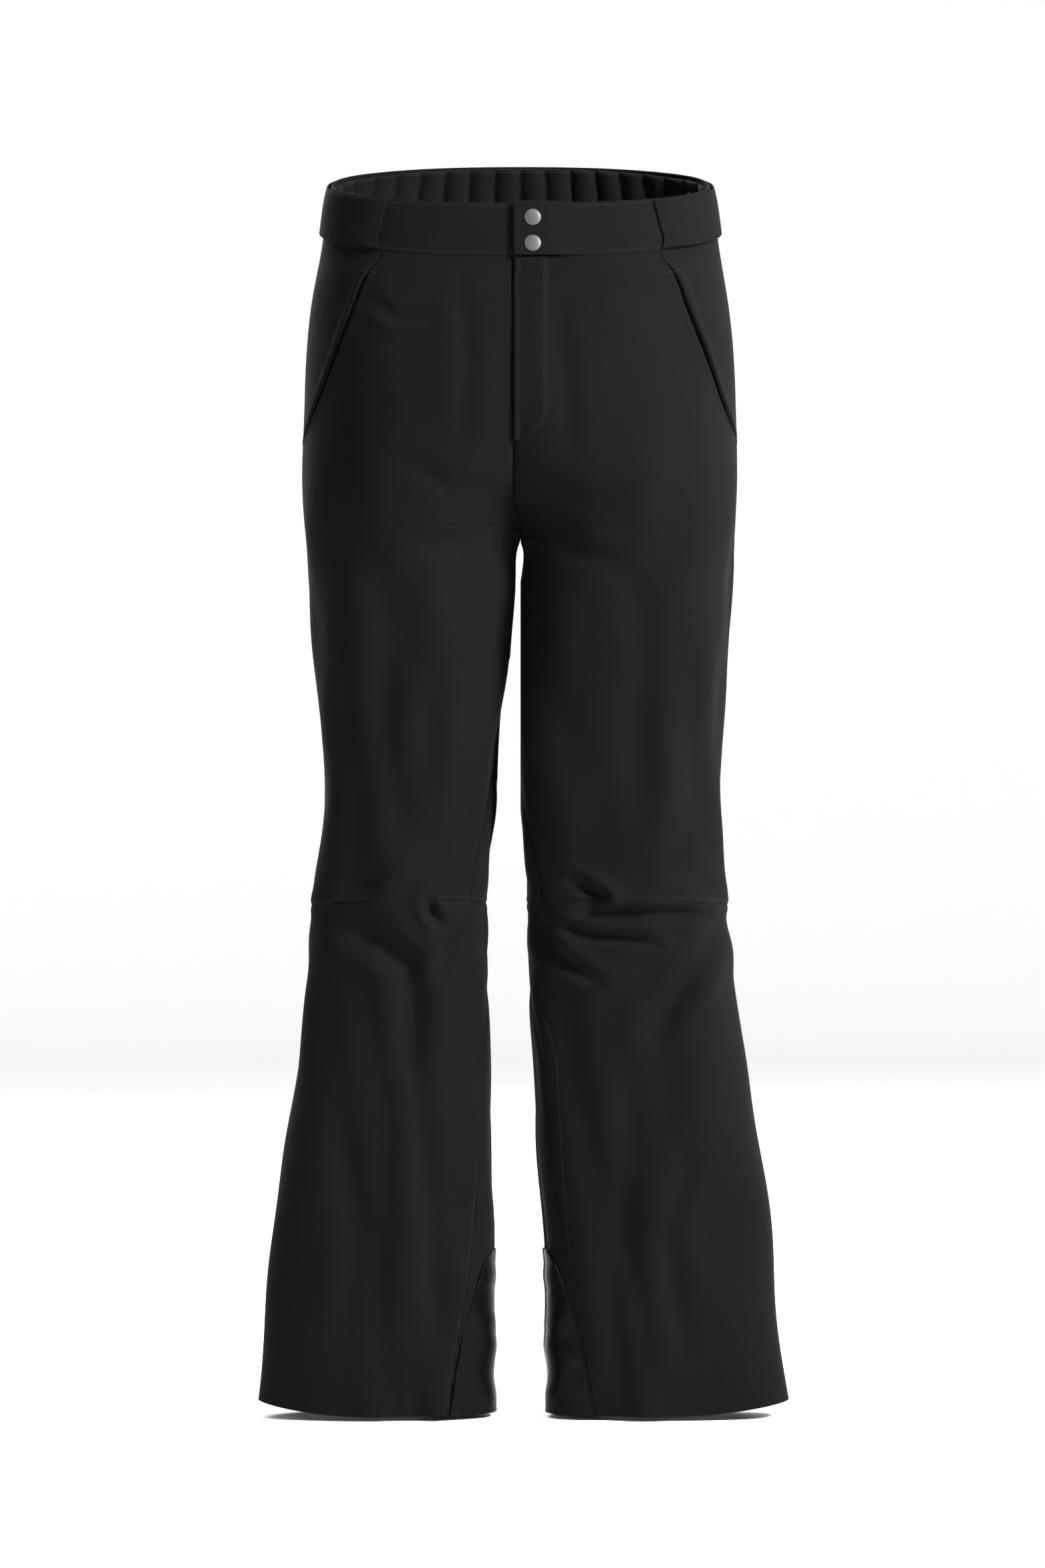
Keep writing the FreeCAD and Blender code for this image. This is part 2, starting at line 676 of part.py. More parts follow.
def press_studs():
    """Caps and sockets ride on the closure flap; studs and posts on the band under it."""
    gap, cloth = size("closure_gap"), size("closure_cloth")
    hold = cell("closure_cloth")
    cap = [
        ("0", "0.1"),
        (cell("cap_radius"), "0.1"),
        (f"{cell('cap_radius')} - 0.2", cell("cap_edge")),
        (f"{cell('cap_radius')} * 0.66", f"{cell('cap_rise')} - 0.35"),
        (f"{cell('cap_radius')} * 0.33", f"{cell('cap_rise')} - 0.08"),
        ("0", cell("cap_rise")),
    ]
    turned_pair("snap_caps", cap, gap + cloth)
    socket = [
        (cell("socket_bore"), "0"),
        (cell("socket_radius"), "0"),
        (cell("socket_radius"), f"{cell('socket_height')} - 0.4"),
        (f"{cell('socket_radius')} - 0.4", cell("socket_height")),
        (cell("shank_radius"), cell("socket_height")),
        (cell("shank_radius"), f"{cell('socket_height')} + {hold}"),
        ("0", f"{cell('socket_height')} + {hold}"),
        ("0", f"{cell('socket_height')} + 0.2"),
        (f"{cell('shank_radius')} * 0.6", f"{cell('socket_height')} - 0.1"),
        (cell("socket_bore"), f"{cell('socket_height')} - 0.3"),
    ]
    turned_pair("snap_sockets", socket, gap - size("socket_height") - 0.1)
    stud = [
        ("0", "0"),
        (cell("stud_flange"), "0"),
        (cell("stud_flange"), cell("stud_foot")),
        (cell("stud_neck"), f"{cell('stud_foot')} + 0.1"),
        (cell("stud_neck"), f"{cell('stud_foot')} + 0.6"),
        (cell("stud_ball"), f"{cell('stud_height')} * 0.7"),
        (f"{cell('stud_ball')} * 0.8", cell("stud_height")),
        ("0", cell("stud_height")),
    ]
    turned_pair("snap_studs", stud, 0.15)
    post = [
        ("0", "0"),
        (cell("post_radius"), "0"),
        (cell("post_radius"), cell("post_height")),
        (cell("shank_radius"), cell("post_height")),
        (cell("shank_radius"), f"{cell('post_height')} + {cell('band_inside')}"),
        ("0", f"{cell('post_height')} + {cell('band_inside')}"),
    ]
    turned_pair("snap_posts", post, -size("band_proud") - size("band_inside") - size("post_height") - 0.1)


def zip_tapes(label, length):
    """Two tapes, each with its half of the coil, and a lane between them for the slider's wedge.

    Y runs up the zip, Z points to its face, and the origin is its middle."""
    lane, coil = cell("coil_lane"), cell("coil_width")
    tape_reach = f"({cell('tape_width')} + {lane}) / 2 + {coil}"
    coil_reach = f"({coil} + {lane}) / 2"
    strips = (
        ("tape_a", cell("tape_width"), cell("tape_cloth"), tape_reach),
        ("tape_b", cell("tape_width"), cell("tape_cloth"), f"-({tape_reach})"),
        ("coil_a", coil, cell("coil_depth"), coil_reach),
        ("coil_b", coil, cell("coil_depth"), f"-({coil_reach})"),
    )
    made = []
    for name, width, thickness, shift in strips:
        body = doc.addObject("PartDesign::Body", f"{label}_{name}")
        sketch = new_sketch(body, "Outline")
        add_rectangle(sketch, width, length, x_shift=shift)
        add_pad(body, sketch, "Cloth", thickness)
        made.append(body)
    compound = doc.addObject("Part::Compound", label)
    compound.Label = label
    compound.Links = made
    parts.append(compound)
    return compound


def zip_slider(label):
    """A slider: two plates on a throat for the coil, a wedge between the tapes, and a bridge on top."""
    gap, plate, crown_rise = cell("slider_gap"), cell("slider_plate"), cell("slider_crown")
    long, wide = cell("slider_length"), cell("slider_width")
    face = f"{gap} / 2 + {plate}"
    slider = new_body(label)
    plates = new_sketch(slider, "Plates")
    add_rectangle(plates, wide, long)
    add_pad(slider, plates, "Block", f"{gap} + 2 * {plate}")
    doc.recompute()
    channel = new_sketch(slider, "Channel", "XZ_Plane")
    add_rectangle(channel, f"{wide} + 1", gap)
    add_through_pocket(slider, channel, "Throat")
    wedge = new_sketch(slider, "Wedge")
    wedge_long = cell("wedge_length")
    add_rectangle(wedge, cell("wedge_width"), wedge_long, y_shift=f"({long} - {wedge_long}) / 2")
    add_pad(slider, wedge, "Diamond", f"{gap} + {plate}")
    doc.recompute()
    crown = new_sketch(slider, "Crown", "YZ_Plane")
    add_rectangle(crown, cell("bridge_length"), crown_rise, y_shift=f"{face} + {crown_rise} / 2 - 0.05")
    add_pad(slider, crown, "Bridge", cell("bridge_width"))
    doc.recompute()
    eye = new_sketch(slider, "Eye", "YZ_Plane")
    eye_rise = f"({crown_rise} - {cell('bridge_bar')})"
    eye_long = f"{cell('bridge_length')} - 2 * {cell('bridge_leg')}"
    add_rectangle(eye, eye_long, eye_rise, y_shift=f"{face} + {eye_rise} / 2")
    add_through_pocket(slider, eye, "Tunnel")
    return slider


def zip_pull(label):
    """A flat pull whose eye loops round the slider's bridge. Its swing axis is its own X axis."""
    pull = new_body(label)
    long, eye, bar = cell("pull_length"), cell("pull_eye"), cell("pull_bar")
    strip = new_sketch(pull, "Strip")
    add_rectangle(strip, cell("pull_width"), long, y_shift=f"{bar} / 2 - {long} / 2")
    add_pad(pull, strip, "Tab", cell("pull_cloth"))
    doc.recompute()
    slot = new_sketch(pull, "Slot")
    add_rectangle(slot, cell("pull_slot"), eye, y_shift=f"-({bar} + {eye}) / 2")
    add_through_pocket(pull, slot, "Eye")
    return pull


def add_through_pocket(body, sketch, name):
    """Cuts a sketch right through both ways, and stops if nothing was removed."""
    before = body.Shape.Volume
    pocket = body.newObject("PartDesign::Pocket", name)
    pocket.Profile = sketch
    pocket.Type = 1
    pocket.Midplane = True
    sketch.Visibility = False
    doc.recompute()
    if body.Shape.Volume > before - 0.01:
        raise RuntimeError(f"{body.Label}: {name} cut nothing")


zip_lengths = []


def lay_zip(name, top, foot, face):
    """A closed zip from top to foot whose front points to face, with its slider up and its pull down."""
    length = (top - foot).Length
    alias = f"{name}_length"
    row = len(SIZES) + len(LEVELS) * len(LEVEL_COLUMNS) + 2 + len(zip_lengths)
    zip_lengths.append(alias)
    sheet.set(f"A{row}", alias)
    sheet.set(f"B{row}", f"{length:.3f}")
    sheet.setAlias(f"B{row}", alias)
    doc.recompute()
    along = (top - foot).normalize()
    placed(zip_tapes(f"{name}_zip", cell(alias)), (top + foot) / 2, face, along)
    slider_place = top - along * (size("slider_length") / 2 + size("slider_stop"))
    slider = zip_slider(f"{name}_zip_slider")
    placed(slider, slider_place, face, along)
    doc.recompute()
    out = slider.Placement.Rotation.multVec(Vector(0, 0, 1))
    lift = size("slider_gap") / 2 + size("slider_plate") + (size("slider_crown") - size("bridge_bar")) / 2
    hang = size("bridge_length") / 2 - size("bridge_leg") - size("pull_bar") / 2 - 0.3
    pull = zip_pull(f"{name}_zip_pull")
    placed(pull, slider_place + out * lift + along * hang, face, along)


def zips():
    """The fly zip behind the flap, and a concealed zip behind each pocket slit."""
    middle = (size("fly_width") - 2 * size("fly_edge")) / 2 + size("fly_zip_shift")
    top = Vector(middle, size("fly_zip_top_y"), -size("fly_zip_top"))
    foot = Vector(middle, size("fly_zip_foot_y"), -size("fly_zip_foot"))
    lay_zip("fly", top, foot, Vector(0, -1, 0))
    shield = new_body("fly_shield")
    outline = new_sketch(shield, "Outline")
    add_rectangle(outline, cell("fly_shield_width"), cell("fly_shield_length"))
    add_pad(shield, outline, "Cloth", cell("fly_shield_cloth"))
    along = (top - foot).normalize()
    back = Vector(0, size("fly_shield_back") + size("slider_gap"), 0)
    placed(shield, (top + foot) / 2 + back, Vector(0, -1, 0), along)
    for side, sign in (("left", 1), ("right", -1)):
        top, foot, face = pocket_zip_line(sign)
        lay_zip(f"{side}_pocket", top, foot, face)


def pocket_zip_line(sign):
    """The straight line of a pocket's zip, inside the slit, and the way that its face points."""
    ends = []
    for which, along in (("top", -1), ("foot", 1)):
        x, drop = size(f"pocket_{which}_x"), size(f"pocket_{which}_drop")
        point, normal = front_point(x, -drop - along * size("pocket_zip_end_gap"))
        ends.append((point - normal * size("pocket_zip_inset"), normal))
    face = ends[0][1] + ends[1][1]
    top, foot = (Vector(sign * p.x, p.y, p.z) for p, _ in ends)
    return top, foot, Vector(sign * face.x, face.y, face.z)


def placed(obj, position, direction, up=Vector(0, 0, 1)):
    """Puts an object so that its Y axis points along up and its Z axis as near to direction as it can."""
    y = Vector(up).normalize()
    z = Vector(direction) - y * y.dot(Vector(direction))
    if z.Length < 1e-6:
        raise ValueError("direction is parallel to up")
    z.normalize()
    put(obj, position, y.cross(z), y, z)


def hangers_and_label():
    """Hanger loops at the sides of the waist and a blank care label at its back."""
    strips = (
        ("hanger_loop_left", "hanger_width", "hanger_length", "hanger_cloth", Vector(1, 0, 0)),
        ("hanger_loop_right", "hanger_width", "hanger_length", "hanger_cloth", Vector(-1, 0, 0)),
        ("care_label", "label_width", "label_length", "label_cloth", Vector(0, 1, 0)),
    )
    made = []
    for name, width, length, cloth, face in strips:
        body = new_body(name) if name == "care_label" else doc.addObject("PartDesign::Body", name)
        outline = new_sketch(body, "Outline")
        add_rectangle(outline, cell(width), cell(length))
        add_pad(body, outline, "Cloth", cell(cloth))
        made.append(body)
        drop = size("hanger_drop") if name != "care_label" else size("label_drop")
        reach = size("hanger_x") if name != "care_label" else size("label_y")
        placed(body, face * reach + Vector(0, 0, -drop - size(length) / 2), face)
    loops = doc.addObject("Part::Compound", "hanger_loops")
    loops.Label = "hanger_loops"
    loops.Links = made[:2]
    parts.append(loops)


# ---------------------------------------------------------------- assembly


def check_and_export():
    """Stops on any failed object or invalid shape, then writes one STEP file per sub-part."""
    doc.recompute()
    for obj in doc.Objects:
        if "Invalid" in obj.State or "Error" in obj.State:
            raise RuntimeError(f"{obj.Label}: {obj.State}")
    for piece in parts:
        if piece.Shape.isNull() or not piece.Shape.isValid() or not piece.Shape.Solids:
            raise RuntimeError(f"{piece.Label}: bad shape")
    os.makedirs("parts", exist_ok=True)
    for piece in parts:
        piece.Shape.exportStep(f"parts/{piece.Label}.step")
        print(f"{piece.Label}: {len(piece.Shape.Solids)} solids, {piece.Shape.Volume:.0f} mm3")


fill_sheet()
hip_panels()
leg_panels()
waistband()
closure()
side_tabs()
pocket_bags()
gaiters()
press_studs()
zips()
hangers_and_label()
check_and_export()
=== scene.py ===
import math

import bmesh
import bpy
import numpy as np
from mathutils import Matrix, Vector
from mathutils.bvhtree import BVHTree


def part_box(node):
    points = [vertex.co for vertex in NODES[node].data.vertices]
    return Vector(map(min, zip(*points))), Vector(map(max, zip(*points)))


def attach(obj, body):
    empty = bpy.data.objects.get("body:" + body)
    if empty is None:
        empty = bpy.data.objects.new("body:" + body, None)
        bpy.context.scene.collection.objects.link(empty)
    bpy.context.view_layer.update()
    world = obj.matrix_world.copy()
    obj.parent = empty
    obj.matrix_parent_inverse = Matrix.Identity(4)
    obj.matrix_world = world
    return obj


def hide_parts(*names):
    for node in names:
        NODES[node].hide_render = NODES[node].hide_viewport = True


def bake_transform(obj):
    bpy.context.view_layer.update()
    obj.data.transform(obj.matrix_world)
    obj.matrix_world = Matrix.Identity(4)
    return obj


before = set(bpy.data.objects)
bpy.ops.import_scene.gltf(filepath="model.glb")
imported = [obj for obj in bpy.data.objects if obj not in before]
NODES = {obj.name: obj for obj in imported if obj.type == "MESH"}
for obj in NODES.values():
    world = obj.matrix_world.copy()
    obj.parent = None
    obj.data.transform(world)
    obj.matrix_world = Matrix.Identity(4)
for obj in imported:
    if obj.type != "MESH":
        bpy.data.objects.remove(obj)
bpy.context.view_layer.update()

# Driving sizes in metres. Left-hand pieces are made for +X and mirrored.
MM = 0.001
ROUNDNESS = 2.3
WAIST_SLOPE = 0.31
WAIST_RISE = 0.026
SLOPE_FADE = (-0.17, -0.05)
BAND = 0.045
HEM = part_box("left_front_shin_panel")[0].z
CROTCH = -0.307
MID_THIGH = -0.485
SIDE_SEAM_Y = 0.004
FLY_EDGE, FLY_STITCH, FLY_FOOT = -0.006, 0.0245, -0.232
POCKET_TOP, POCKET_FOOT = -0.084, -0.226
INSERT_FOOT = -0.2545
HEM_LIFT = 0.011
EDGE = 1.5 * MM
STEP = 2.6 * MM
FAR_MM = 50.0
RNG = np.random.default_rng(38)


# ------------------------------------------------------------ the wearer's form, from the frame


def edge_ends(names):
    """Both ends of every edge of some CAD nodes."""
    starts, ends = [], []
    for name in names:
        mesh = NODES[name].data
        co = np.empty(len(mesh.vertices) * 3)
        mesh.vertices.foreach_get("co", co)
        co = co.reshape(-1, 3)
        pairs = np.empty(len(mesh.edges) * 2, int)
        mesh.edges.foreach_get("vertices", pairs)
        pairs = pairs.reshape(-1, 2)
        starts.append(co[pairs[:, 0]])
        ends.append(co[pairs[:, 1]])
    return np.concatenate(starts), np.concatenate(ends)


def outline_at(edges, z):
    """The points where the edges cross the level z."""
    a, b = edges
    crossing = (a[:, 2] - z) * (b[:, 2] - z) < 0
    a, b = a[crossing], b[crossing]
    share = ((z - a[:, 2]) / (b[:, 2] - a[:, 2]))[:, None]
    return (a + (b - a) * share)[:, :2]


def measure_form():
    """Rows of z, middle, half width, half depth and shift of one leg, from hem to waist."""
    panels = "front_hip side_hip back_hip front_thigh back_thigh front_shin back_shin inner_shin"
    shell = [f"left_{name}_panel" for name in panels.split()]
    leg = edge_ends([*shell, "left_groin_section", "left_knee_section"])
    bands = edge_ends(["back_waistband", "left_front_waistband", "right_front_waistband"])
    proud = 0.6 * MM
    rows = []
    for z in (0.018, 0.009, 0.0, -0.012):
        points = outline_at(bands, z)
        depth = points[:, 1].max()
        widest = points[points[:, 0].argmax()]
        share = 1 - min(1.0, abs(widest[1]) / depth) ** ROUNDNESS
        rows.append((z, 0.0, widest[0] / share ** (1 / ROUNDNESS) - proud, depth - proud, 0.0))
    for z in (-0.03, -0.04, -0.052, -0.064):
        band, panel = outline_at(bands, z), outline_at(leg, z)
        low, high = band[:, 1].min() + proud, panel[:, 1].max()
        outer = max(band[:, 0].max() - proud, panel[:, 0].max())
        rows.append((z, 0.0, outer, (high - low) / 2, (high + low) / 2))
    heights = [*np.arange(-0.08, -0.30, -0.03), *np.arange(-0.315, HEM, -0.045), HEM + 0.002]
    for z in heights:
        points = outline_at(leg, z)
        outer, low, high = points[:, 0].max(), points[:, 1].min(), points[:, 1].max()
        depth, shift = (high - low) / 2, (high + low) / 2
        if z > CROTCH:
            front_centre = points[points[:, 0] < 0.5 * MM, 1].min()
            share = min(1.0, abs(front_centre - shift) / depth)
            cosine = -((1 - share**ROUNDNESS) ** (1 / ROUNDNESS))
            half = outer / (1 - cosine)
            rows.append((z, outer - half, half, depth, shift))
        else:
            inner = points[:, 0].min()
            rows.append((z, (outer + inner) / 2, (outer - inner) / 2, depth, shift))
    return np.array(sorted(rows))


FORM = measure_form()
FORM_SLOPES = np.gradient(FORM[:, 1:], FORM[:, 0], axis=0)


def form_at(z):
    """Middle, half width, half depth and shift at heights z, smooth between the measured rows."""
    z = np.asarray(z, float)
    knots = FORM[:, 0]
    inside = np.clip(z, knots[0], knots[-1])
    k = np.clip(np.searchsorted(knots, inside) - 1, 0, len(knots) - 2)
    span = knots[k + 1] - knots[k]
    u = ((inside - knots[k]) / span)[..., None]
    span = span[..., None]
    start, end = FORM[k, 1:], FORM[k + 1, 1:]
    values = start * (1 + 2 * u) * (1 - u) ** 2 + end * u**2 * (3 - 2 * u)
    values += span * u * (1 - u) * (FORM_SLOPES[k] * (1 - u) - FORM_SLOPES[k + 1] * u)
    beyond = (z - inside)[..., None]
    values += beyond * np.where(beyond > 0, FORM_SLOPES[-1], FORM_SLOPES[0])
    return tuple(np.moveaxis(values, -1, 0))


def ease(x, low, high):
    """0 below low, 1 above high and smooth between them; low may be the larger."""
    u = np.clip((np.asarray(x, float) - low) / (high - low), 0, 1)
    return u * u * (3 - 2 * u)


def surface(h, t):
    """Points of the left side at level h and angle t.

    Angle 0 is the outer side, -pi/2 the front and pi/2 the back. Levels slope with the waist at the
    top, and rise to the outer corner at the hem."""
    h, t = np.broadcast_arrays(np.asarray(h, float), np.asarray(t, float))
    c, s = np.cos(t), np.sin(t)
    wide = np.sign(c) * np.abs(c) ** (2 / ROUNDNESS)
    deep = np.sign(s) * np.abs(s) ** (2 / ROUNDNESS)
    tilt = WAIST_SLOPE * ease(h, *SLOPE_FADE)
    lift = HEM_LIFT * ease(h, HEM + 0.22, HEM) * np.clip(wide, 0, 1) ** 2
    z = h.copy()
    for _ in range(4):
        middle, half, depth, shift = form_at(z)
        y = shift + depth * deep
        z = h + tilt * y + lift
    x = middle + half * wide
    return np.stack([x, y, z], -1)


def form_normals(points):
    """Unit normals of the form on the left side, the same for every panel that meets there."""
    x, y, z = points[..., 0], points[..., 1], points[..., 2]

    def reach(height):
        middle, half, depth, shift = form_at(height)
        return (x - middle) / half, (y - shift) / depth, half, depth

    u, v, half, depth = reach(z)
    nx = np.sign(u) * np.abs(u) ** (ROUNDNESS - 1) / half
    ny = np.sign(v) * np.abs(v) ** (ROUNDNESS - 1) / depth
    step = 0.5 * MM
    sizes = []
    for height in (z + step, z - step):
        a, b, _, _ = reach(height)
        sizes.append(np.abs(a) ** ROUNDNESS + np.abs(b) ** ROUNDNESS)
    nz = (sizes[0] - sizes[1]) / (2 * step) / ROUNDNESS
    normals = np.stack([nx, ny, nz], -1)
    return normals / np.maximum(np.linalg.norm(normals, axis=-1, keepdims=True), 1e-12)


def angle_of_x(x, h, front=True):
    """The angle at which the front, or back, of level h is at x."""
    z = np.asarray(h, float)
    for _ in range(3):
        middle, half, depth, shift = form_at(z)
        z = h + WAIST_SLOPE * ease(h, *SLOPE_FADE) * (shift - depth if front else shift + depth)
    c = np.clip((x - middle) / half, -1, 1)
    angle = np.arccos(np.sign(c) * np.abs(c) ** (ROUNDNESS / 2))
    return -angle if front else angle


def angle_of_y(y, h):
    """The angle at which the outer side of level h is at y."""
    _, _, depth, shift = form_at(h)
    s = np.clip((y - shift) / depth, -1, 1)
    return np.arcsin(np.sign(s) * np.abs(s) ** (ROUNDNESS / 2))


# ------------------------------------------------------------ mesh helpers


def vertex_normals(grid):
    """Outward unit normals of a grid: rows run down, columns run from the front centre."""
    down = np.gradient(grid, axis=0)
    across = np.gradient(grid, axis=1)
    n = np.cross(down, across)
    return n / np.maximum(np.linalg.norm(n, axis=-1, keepdims=True), 1e-12)


def lengths_along(grid, axis):
    """Running length along the rows or columns of a grid."""
    steps = np.linalg.norm(np.diff(grid, axis=axis), axis=-1)
    zero = np.zeros_like(np.take(steps, [0], axis=axis))
    return np.concatenate([zero, np.cumsum(steps, axis=axis)], axis=axis)


def level_line(h, spans, count=260):
    """A line round the form at one level, through spans of (side, start angle, end angle)."""
    parts = []
    for side, start, end in spans:
        line = surface(h, np.linspace(start(h), end(h), count))
        line[:, 0] *= side
        parts.append(line)
    return np.concatenate(parts)


def rows_between(levels, spans, step=STEP):
    """A grid whose rows run through spans of (side, start angle, end angle), evenly spaced.

    Angles are functions of the level. Rows run from the wearer's right past the front to the left."""
    lines = np.stack([level_line(h, spans, 120) for h in levels])
    run = lengths_along(lines, 1)
    columns = edge_spaced(run[:, -1].mean(), step, EDGE)
    out = np.empty((len(levels), len(columns), 3))
    for k in range(len(levels)):
        for axis in range(3):
            out[k, :, axis] = np.interp(columns * run[k, -1], run[k], lines[k, :, axis])
    return out


def at_x(x, front=True):
    """An angle function: where each level's front, or back, is at x."""
    return lambda h: float(angle_of_x(x(h) if callable(x) else x, h, front))


def at_y(y):
    return lambda h: float(angle_of_y(y, h))


centre_front, centre_back, side_seam = at_x(0.0), at_x(0.0, False), at_y(SIDE_SEAM_Y)


def edge_levels(high, low, step=STEP):
    """Levels from high to low, close together near both."""
    return high - edge_spaced(high - low, step, EDGE) * (high - low)


def make_object(name, verts, faces, material, smooth=True):
    mesh = bpy.data.meshes.new(name)
    mesh.from_pydata(np.asarray(verts).tolist(), [], faces)
    mesh.update()
    if smooth:
        mesh.polygons.foreach_set("use_smooth", [True] * len(mesh.polygons))
    obj = bpy.data.objects.new(name, mesh)
    bpy.context.scene.collection.objects.link(obj)
    mesh.materials.append(material)
    return obj


def grid_faces(rows, columns, first=0, flip=False):
    """Quads of a grid of vertices numbered row by row."""
    faces = []
    for i in range(rows - 1):
        for j in range(columns - 1):
            a = first + i * columns + j
            quad = (a, a + columns, a + columns + 1, a + 1)
            faces.append(quad[::-1] if flip else quad)
    return faces


def add_uv(obj, uv):
    """Gives every corner its vertex's flat place in metres, for weaves that follow the cloth."""
    layer = obj.data.uv_layers.new(name="cloth")
    index = np.empty(len(obj.data.loops), int)
    obj.data.loops.foreach_get("vertex_index", index)
    layer.data.foreach_set("uv", np.asarray(uv, float)[index].ravel())


def flat_uv(grid):
    """Running lengths of a grid, measured across its middle and down each column."""
    across = lengths_along(grid, 1)
    across = across - across[:, -1:] / 2
    return np.stack([across, -lengths_along(grid, 0)], -1).reshape(-1, 2)


def mirrored(grid, side):
    return grid * [side, 1, 1]


def welded(obj):
    """Joins the vertices of an object that lie in the same place."""
    mesh = bmesh.new()
    mesh.from_mesh(obj.data)
    bmesh.ops.remove_doubles(mesh, verts=mesh.verts, dist=0.01 * MM)
    mesh.to_mesh(obj.data)
    mesh.free()
    return obj


def shell_sheet(name, grid, side, seam_distance=FAR_MM, normals=None):
    """One layer of shell cloth from a grid that is already on its own side of the body.

    seam_distance is in millimetres, and cloth near 0 is darker: painted shade for the seam's groove."""
    rows, columns = grid.shape[:2]
    obj = make_object(name, grid.reshape(-1, 3), grid_faces(rows, columns, 0, side < 0), SHELL)
    add_uv(obj, flat_uv(grid))
    values = np.broadcast_to(seam_distance, (rows, columns)).astype(np.float32).ravel()
    obj.data.attributes.new("seam_distance", "FLOAT", "POINT").data.foreach_set("value", values)
    if normals is not None:
        obj.data.normals_split_custom_set_from_vertices(normals.reshape(-1, 3).tolist())
    return obj


def edge_spaced(length, step, edge):
    """Shares of a length: close together near both ends, where an edge is rounded."""
    near = edge * (1 - np.cos(np.linspace(0, math.pi / 2, 4)))
    inner = np.linspace(edge, length - edge, max(3, int(round((length - 2 * edge) / step)) + 1))
    return np.concatenate([near[:-1], inner, length - near[:-1][::-1]]) / length


def plate(name, base, low, high, material, side=1, edge=None, relief=0.0):
    """A closed slab of cloth over a grid, from offset low to offset high, with rounded edges."""
    rows, columns = base.shape[:2]
    normal = vertex_normals(base)
    run_a, run_b = lengths_along(base, 0), lengths_along(base, 1)
    to_edge = np.minimum.reduce([run_a, run_a[-1:] - run_a, run_b, run_b[:, -1:] - run_b])
    low, high = np.broadcast_to(low, to_edge.shape), np.broadcast_to(high, to_edge.shape)
    radius = (high - low) / 2 if edge is None else edge
    rounding = np.sqrt(np.clip(1 - (1 - np.clip(to_edge / radius, 0, 1)) ** 2, 0, 1))
    middle, half = (high + low) / 2, (high - low) / 2 * rounding
    top = base + normal * (middle + half + relief * rounding)[..., None]
    bottom = base + normal * (middle - half)[..., None]
    verts = np.concatenate([top.reshape(-1, 3), bottom.reshape(-1, 3)])
    verts[:, 0] *= side
    count = rows * columns
    flip = side < 0
    faces = grid_faces(rows, columns, 0, flip) + grid_faces(rows, columns, count, not flip)
    obj = make_object(name, verts, faces, material)
    place = flat_uv(base)
    add_uv(obj, np.concatenate([place, place]))
    return welded(obj)


def nearest_on(objects, points):
    """The nearest points of some meshes, and the directions out of them."""
    trees = []
    for obj in objects:
        corners = [v.co for v in obj.data.vertices]
        trees.append(BVHTree.FromPolygons(corners, [f.vertices for f in obj.data.polygons]))
    places, normals = [], []
    for p in points:
        hits = [tree.find_nearest(Vector(p)) for tree in trees]
        place, normal, _, _ = min((q for q in hits if q[0] is not None), key=lambda q: q[3])
        places.append(place)
        normals.append(normal)
    return np.array(places), np.array(normals)


def resampled(points, pitch):
    """Points every pitch along a line of points."""
    points = np.asarray(points, float)
    run = lengths_along(points, 0)
    count = max(2, int(run[-1] / pitch))
    want = np.linspace(0, run[-1], count)
    return np.stack([np.interp(want, run, points[:, k]) for k in range(3)], -1)


def threads(name, lines, on, slot="softshell", pitch=2.6 * MM, length=2.0 * MM, thick=0.42 * MM):
    """Rows of stitches lying on some pieces: each stitch is a slim closed spindle of thread."""
    verts, faces = [], []
    rings, sides, sink = 4, 6, 0.1 * MM
    for line in lines:
        points = resampled(line, pitch)
        places, normals = nearest_on(on, points)
        along = np.gradient(places, axis=0)
        along /= np.maximum(np.linalg.norm(along, axis=1, keepdims=True), 1e-9)
        for p, n, a in zip(places, normals, along):
            across = np.cross(n, a)
            first = len(verts)
            verts.append(p - a * length / 2 - n * sink)
            for r in range(rings):
                u = -math.cos(math.pi * (r + 1) / (rings + 1))
                swell = math.sqrt(1 - u * u) ** 0.5
                centre = p + a * u * length / 2 + n * (thick * 0.35 * swell - sink)
                for q in range(sides):
                    turn = 2 * math.pi * q / sides
                    ring = across * math.cos(turn) + n * math.sin(turn)
                    verts.append(centre + ring * thick / 2 * swell)
            verts.append(p + a * length / 2 - n * sink)
            last = len(verts) - 1
            for q in range(sides):
                nxt = (q + 1) % sides
                faces.append((first, first + 1 + nxt, first + 1 + q))
                for r in range(rings - 1):
                    k = first + 1 + r * sides
                    faces.append((k + q, k + nxt, k + sides + nxt, k + sides + q))
                k = first + 1 + (rings - 1) * sides
                faces.append((last, k + q, k + nxt))
    obj = make_object(name, verts, faces, THREAD)
    add_uv(obj, np.zeros((len(verts), 2)))
    return obj


# ------------------------------------------------------------ materials


def new_material(name, colour, roughness, inputs):
    material = bpy.data.materials.new(name)
    material.use_nodes = True
    shader = material.node_tree.nodes["Principled BSDF"]
    for key, value in {"Base Color": (*colour, 1), "Roughness": roughness, **inputs}.items():
        shader.inputs[key].default_value = value
    return material, material.node_tree, shader


def node(tree, kind, **settings):
    made = tree.nodes.new(kind)
    for key, value in settings.items():
        if key in made.inputs.keys():
            made.inputs[key].default_value = value
        else:
            setattr(made, key, value)
    return made


def math_node(tree, operation, a, b=None, clamp=False):
    made = tree.nodes.new("ShaderNodeMath")
    made.operation = operation
    made.use_clamp = clamp
    for k, value in enumerate((a, b)):
        if value is None:
            continue
        if isinstance(value, (int, float)):
            made.inputs[k].default_value = value
        else:
            tree.links.new(value, made.inputs[k])
    return made.outputs[0]


def scaled(tree, value, factor, plus=0.0):
    """value times factor, with plus added, held between 0 and 1 if there is a plus."""
    out = math_node(tree, "MULTIPLY", value, factor)
    return math_node(tree, "ADD", out, plus, True) if plus else out


